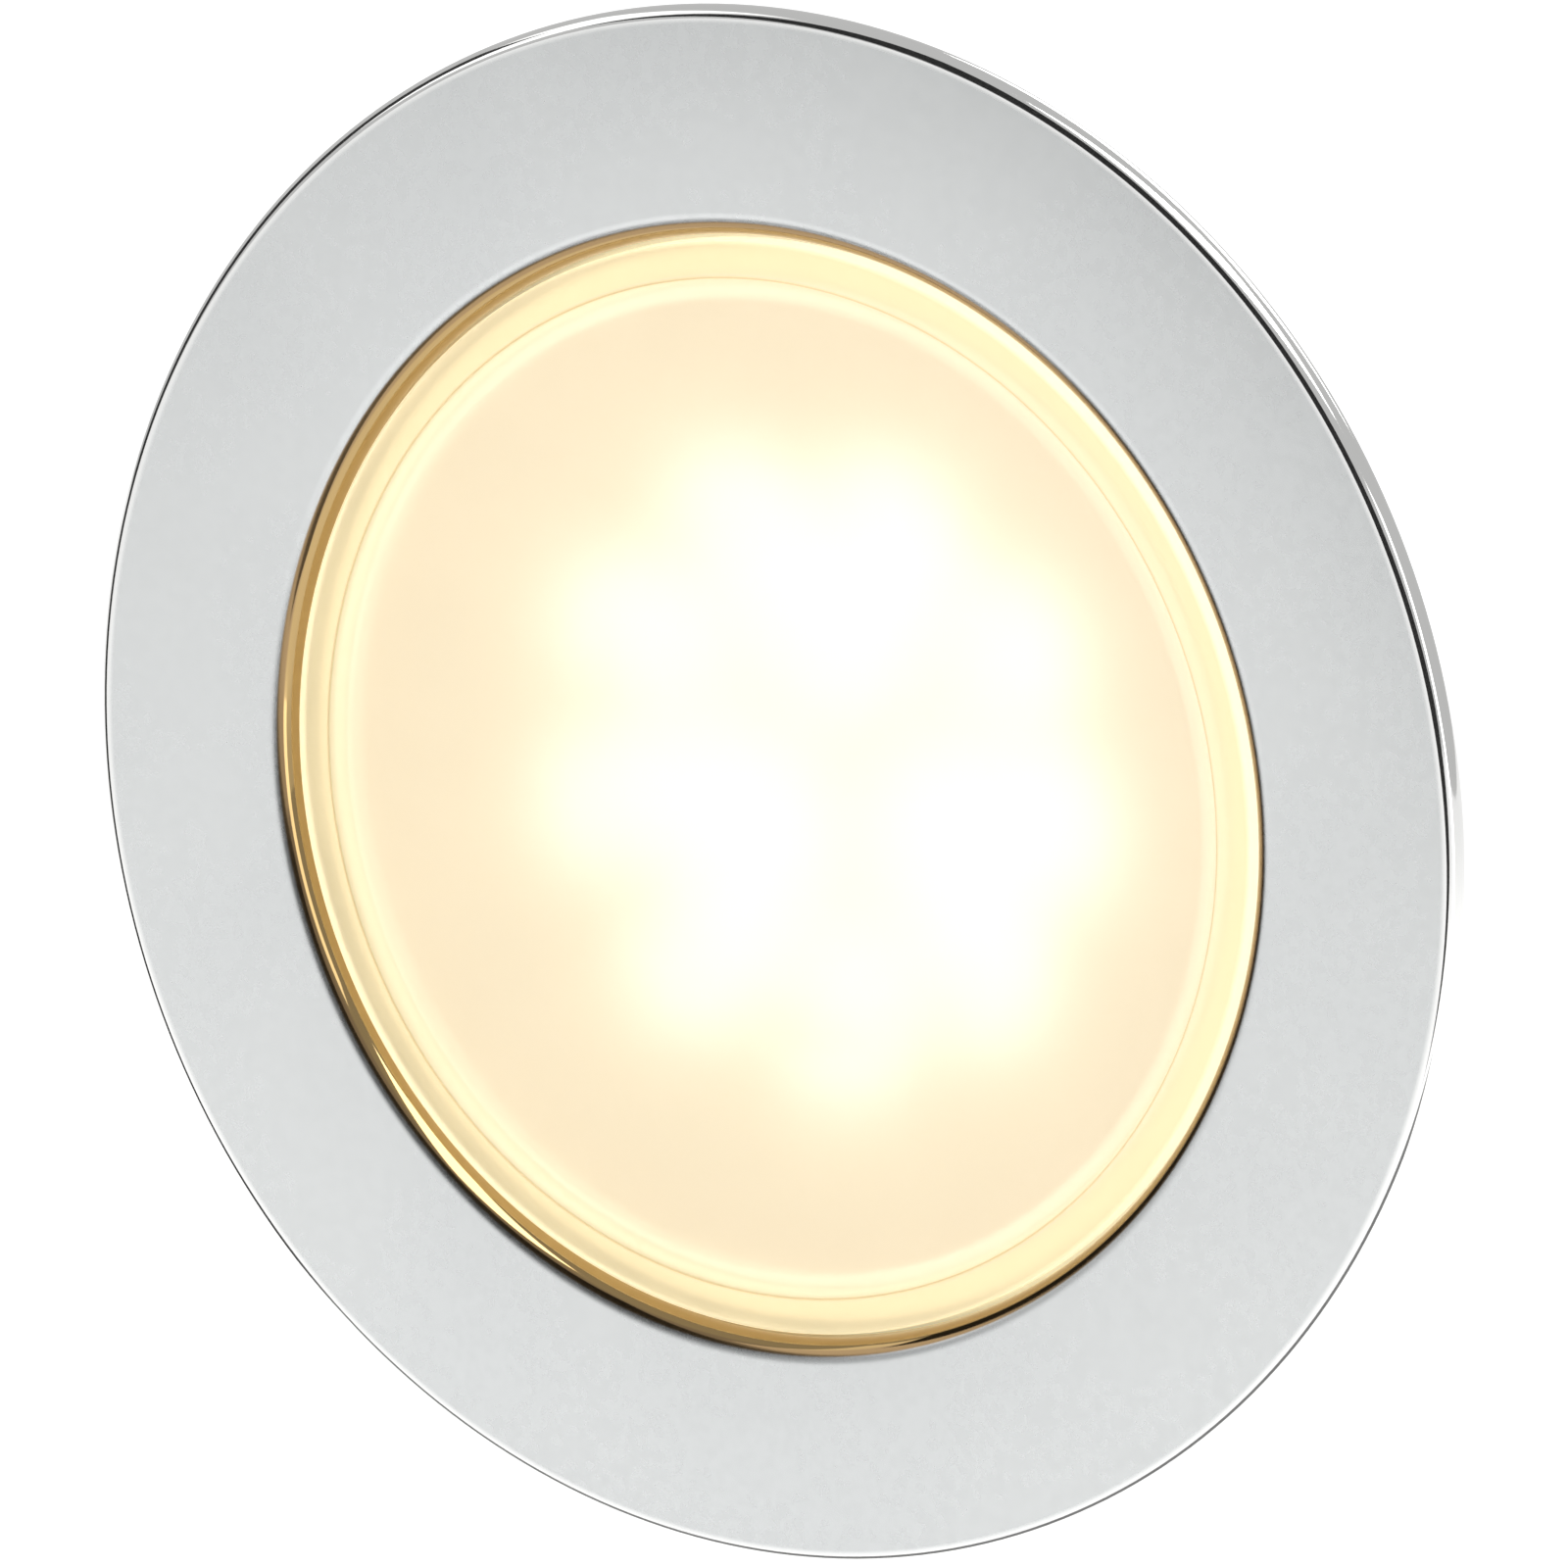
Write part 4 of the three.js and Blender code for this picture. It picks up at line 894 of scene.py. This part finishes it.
FLOOR_DROP = 0.30
FLOOR_HALF = 6.0
FLOOR_GLOW = 0.52
WORLD_STRENGTH = 0.65
CAMERA_AZIMUTH = 31.27
CAMERA_ELEVATION = 12.64
CAMERA_DISTANCE = 0.95
CAMERA_AIM = Vector((1.66, FACE_Y, 0.74)) * MM
SENSOR_WIDTH = 36
VIEW_WIDTH = 0.093573


def looking_from(azimuth, elevation, distance):
    """A place at an azimuth from -Y towards +X and an elevation, in degrees, about the origin."""
    a, e = math.radians(azimuth), math.radians(elevation)
    return Vector((math.sin(a) * math.cos(e), -math.cos(a) * math.cos(e), math.sin(e))) * distance


def facing(thing, azimuth, elevation, distance, turn=0):
    """Puts a thing on a sphere about the lamp, with its -Z towards the lamp."""
    bpy.context.scene.collection.objects.link(thing)
    thing.location = looking_from(azimuth, elevation, distance)
    aimed = (-thing.location).to_track_quat("-Z", "Y").to_matrix()
    thing.rotation_euler = (aimed @ Matrix.Rotation(math.radians(turn), 3, "Z")).to_euler()


def stage_floor():
    level = cad_bounds[0][2] - FLOOR_DROP
    mesh = bpy.data.meshes.new("floor")
    edges = ((-1, -1), (1, -1), (1, 1), (-1, 1))
    mesh.from_pydata([(x * FLOOR_HALF, y * FLOOR_HALF, level) for x, y in edges], [], [(0, 1, 2, 3)])
    pale = Shader("floor", Roughness=0.7, Emission_Color=(1, 1, 1), Emission_Strength=FLOOR_GLOW)
    shade = pale.cloudy(pale.noise(3), (0.86, 0.86, 0.86), (0.9, 0.9, 0.9))
    mesh.materials.append(pale.set(Base_Color=shade))
    floor = bpy.data.objects.new("floor", mesh)
    bpy.context.scene.collection.objects.link(floor)


def flag(name, azimuth, elevation, distance, width, height, turn, tone):
    """A dark card that only shows in polished metal."""
    mesh = block((-width / 2, -height / 2, -MM), (width / 2, height / 2, MM))
    mesh.materials.append(Shader(name, Roughness=0.9, Base_Color=(tone, tone, tone)).material)
    card = bpy.data.objects.new(name, mesh)
    facing(card, azimuth, elevation, distance, turn)
    card.visible_camera = False
    card.visible_diffuse = False
    card.visible_shadow = False
    card.visible_transmission = False


def softbox(name, azimuth, elevation, distance, width, height, watts):
    data = bpy.data.lights.new(name, "AREA")
    data.shape = "RECTANGLE"
    data.size = width
    data.size_y = height
    data.energy = watts
    light = bpy.data.objects.new(name, data)
    facing(light, azimuth, elevation, distance)
    light.visible_camera = False


def photo_camera():
    data = bpy.data.cameras.new("camera")
    camera = bpy.data.objects.new("camera", data)
    bpy.context.scene.collection.objects.link(camera)
    camera.location = CAMERA_AIM + looking_from(CAMERA_AZIMUTH, CAMERA_ELEVATION, CAMERA_DISTANCE)
    camera.rotation_euler = (CAMERA_AIM - camera.location).to_track_quat("-Z", "Y").to_euler()
    data.sensor_width = SENSOR_WIDTH
    data.lens = data.sensor_width * CAMERA_DISTANCE / VIEW_WIDTH
    data.clip_end = 50
    bpy.context.scene.camera = camera


world = bpy.data.worlds.new("studio")
world.use_nodes = True
world.node_tree.nodes["Background"].inputs["Color"].default_value = (1, 1, 1, 1)
world.node_tree.nodes["Background"].inputs["Strength"].default_value = WORLD_STRENGTH
bpy.context.scene.world = world

stage_floor()
flag("flag_high", azimuth=-5.5, elevation=13, distance=0.5, width=0.66, height=0.36, turn=-45, tone=0.01)
flag("flag_side", azimuth=-74, elevation=0, distance=0.5, width=0.22, height=0.7, turn=0, tone=0.01)
flag("flag_low", azimuth=-15, elevation=-42, distance=0.4, width=0.7, height=0.12, turn=0, tone=0.2)
softbox("key", azimuth=40, elevation=55, distance=1.2, width=0.9, height=0.6, watts=9)
softbox("fill", azimuth=-60, elevation=30, distance=1.4, width=0.8, height=0.8, watts=2)
softbox("strip", azimuth=50, elevation=-5, distance=1.2, width=0.3, height=1.4, watts=3)
softbox("back", azimuth=170, elevation=40, distance=1.3, width=1.0, height=0.6, watts=7)
photo_camera()
bpy.context.scene.view_settings.view_transform = "Standard"
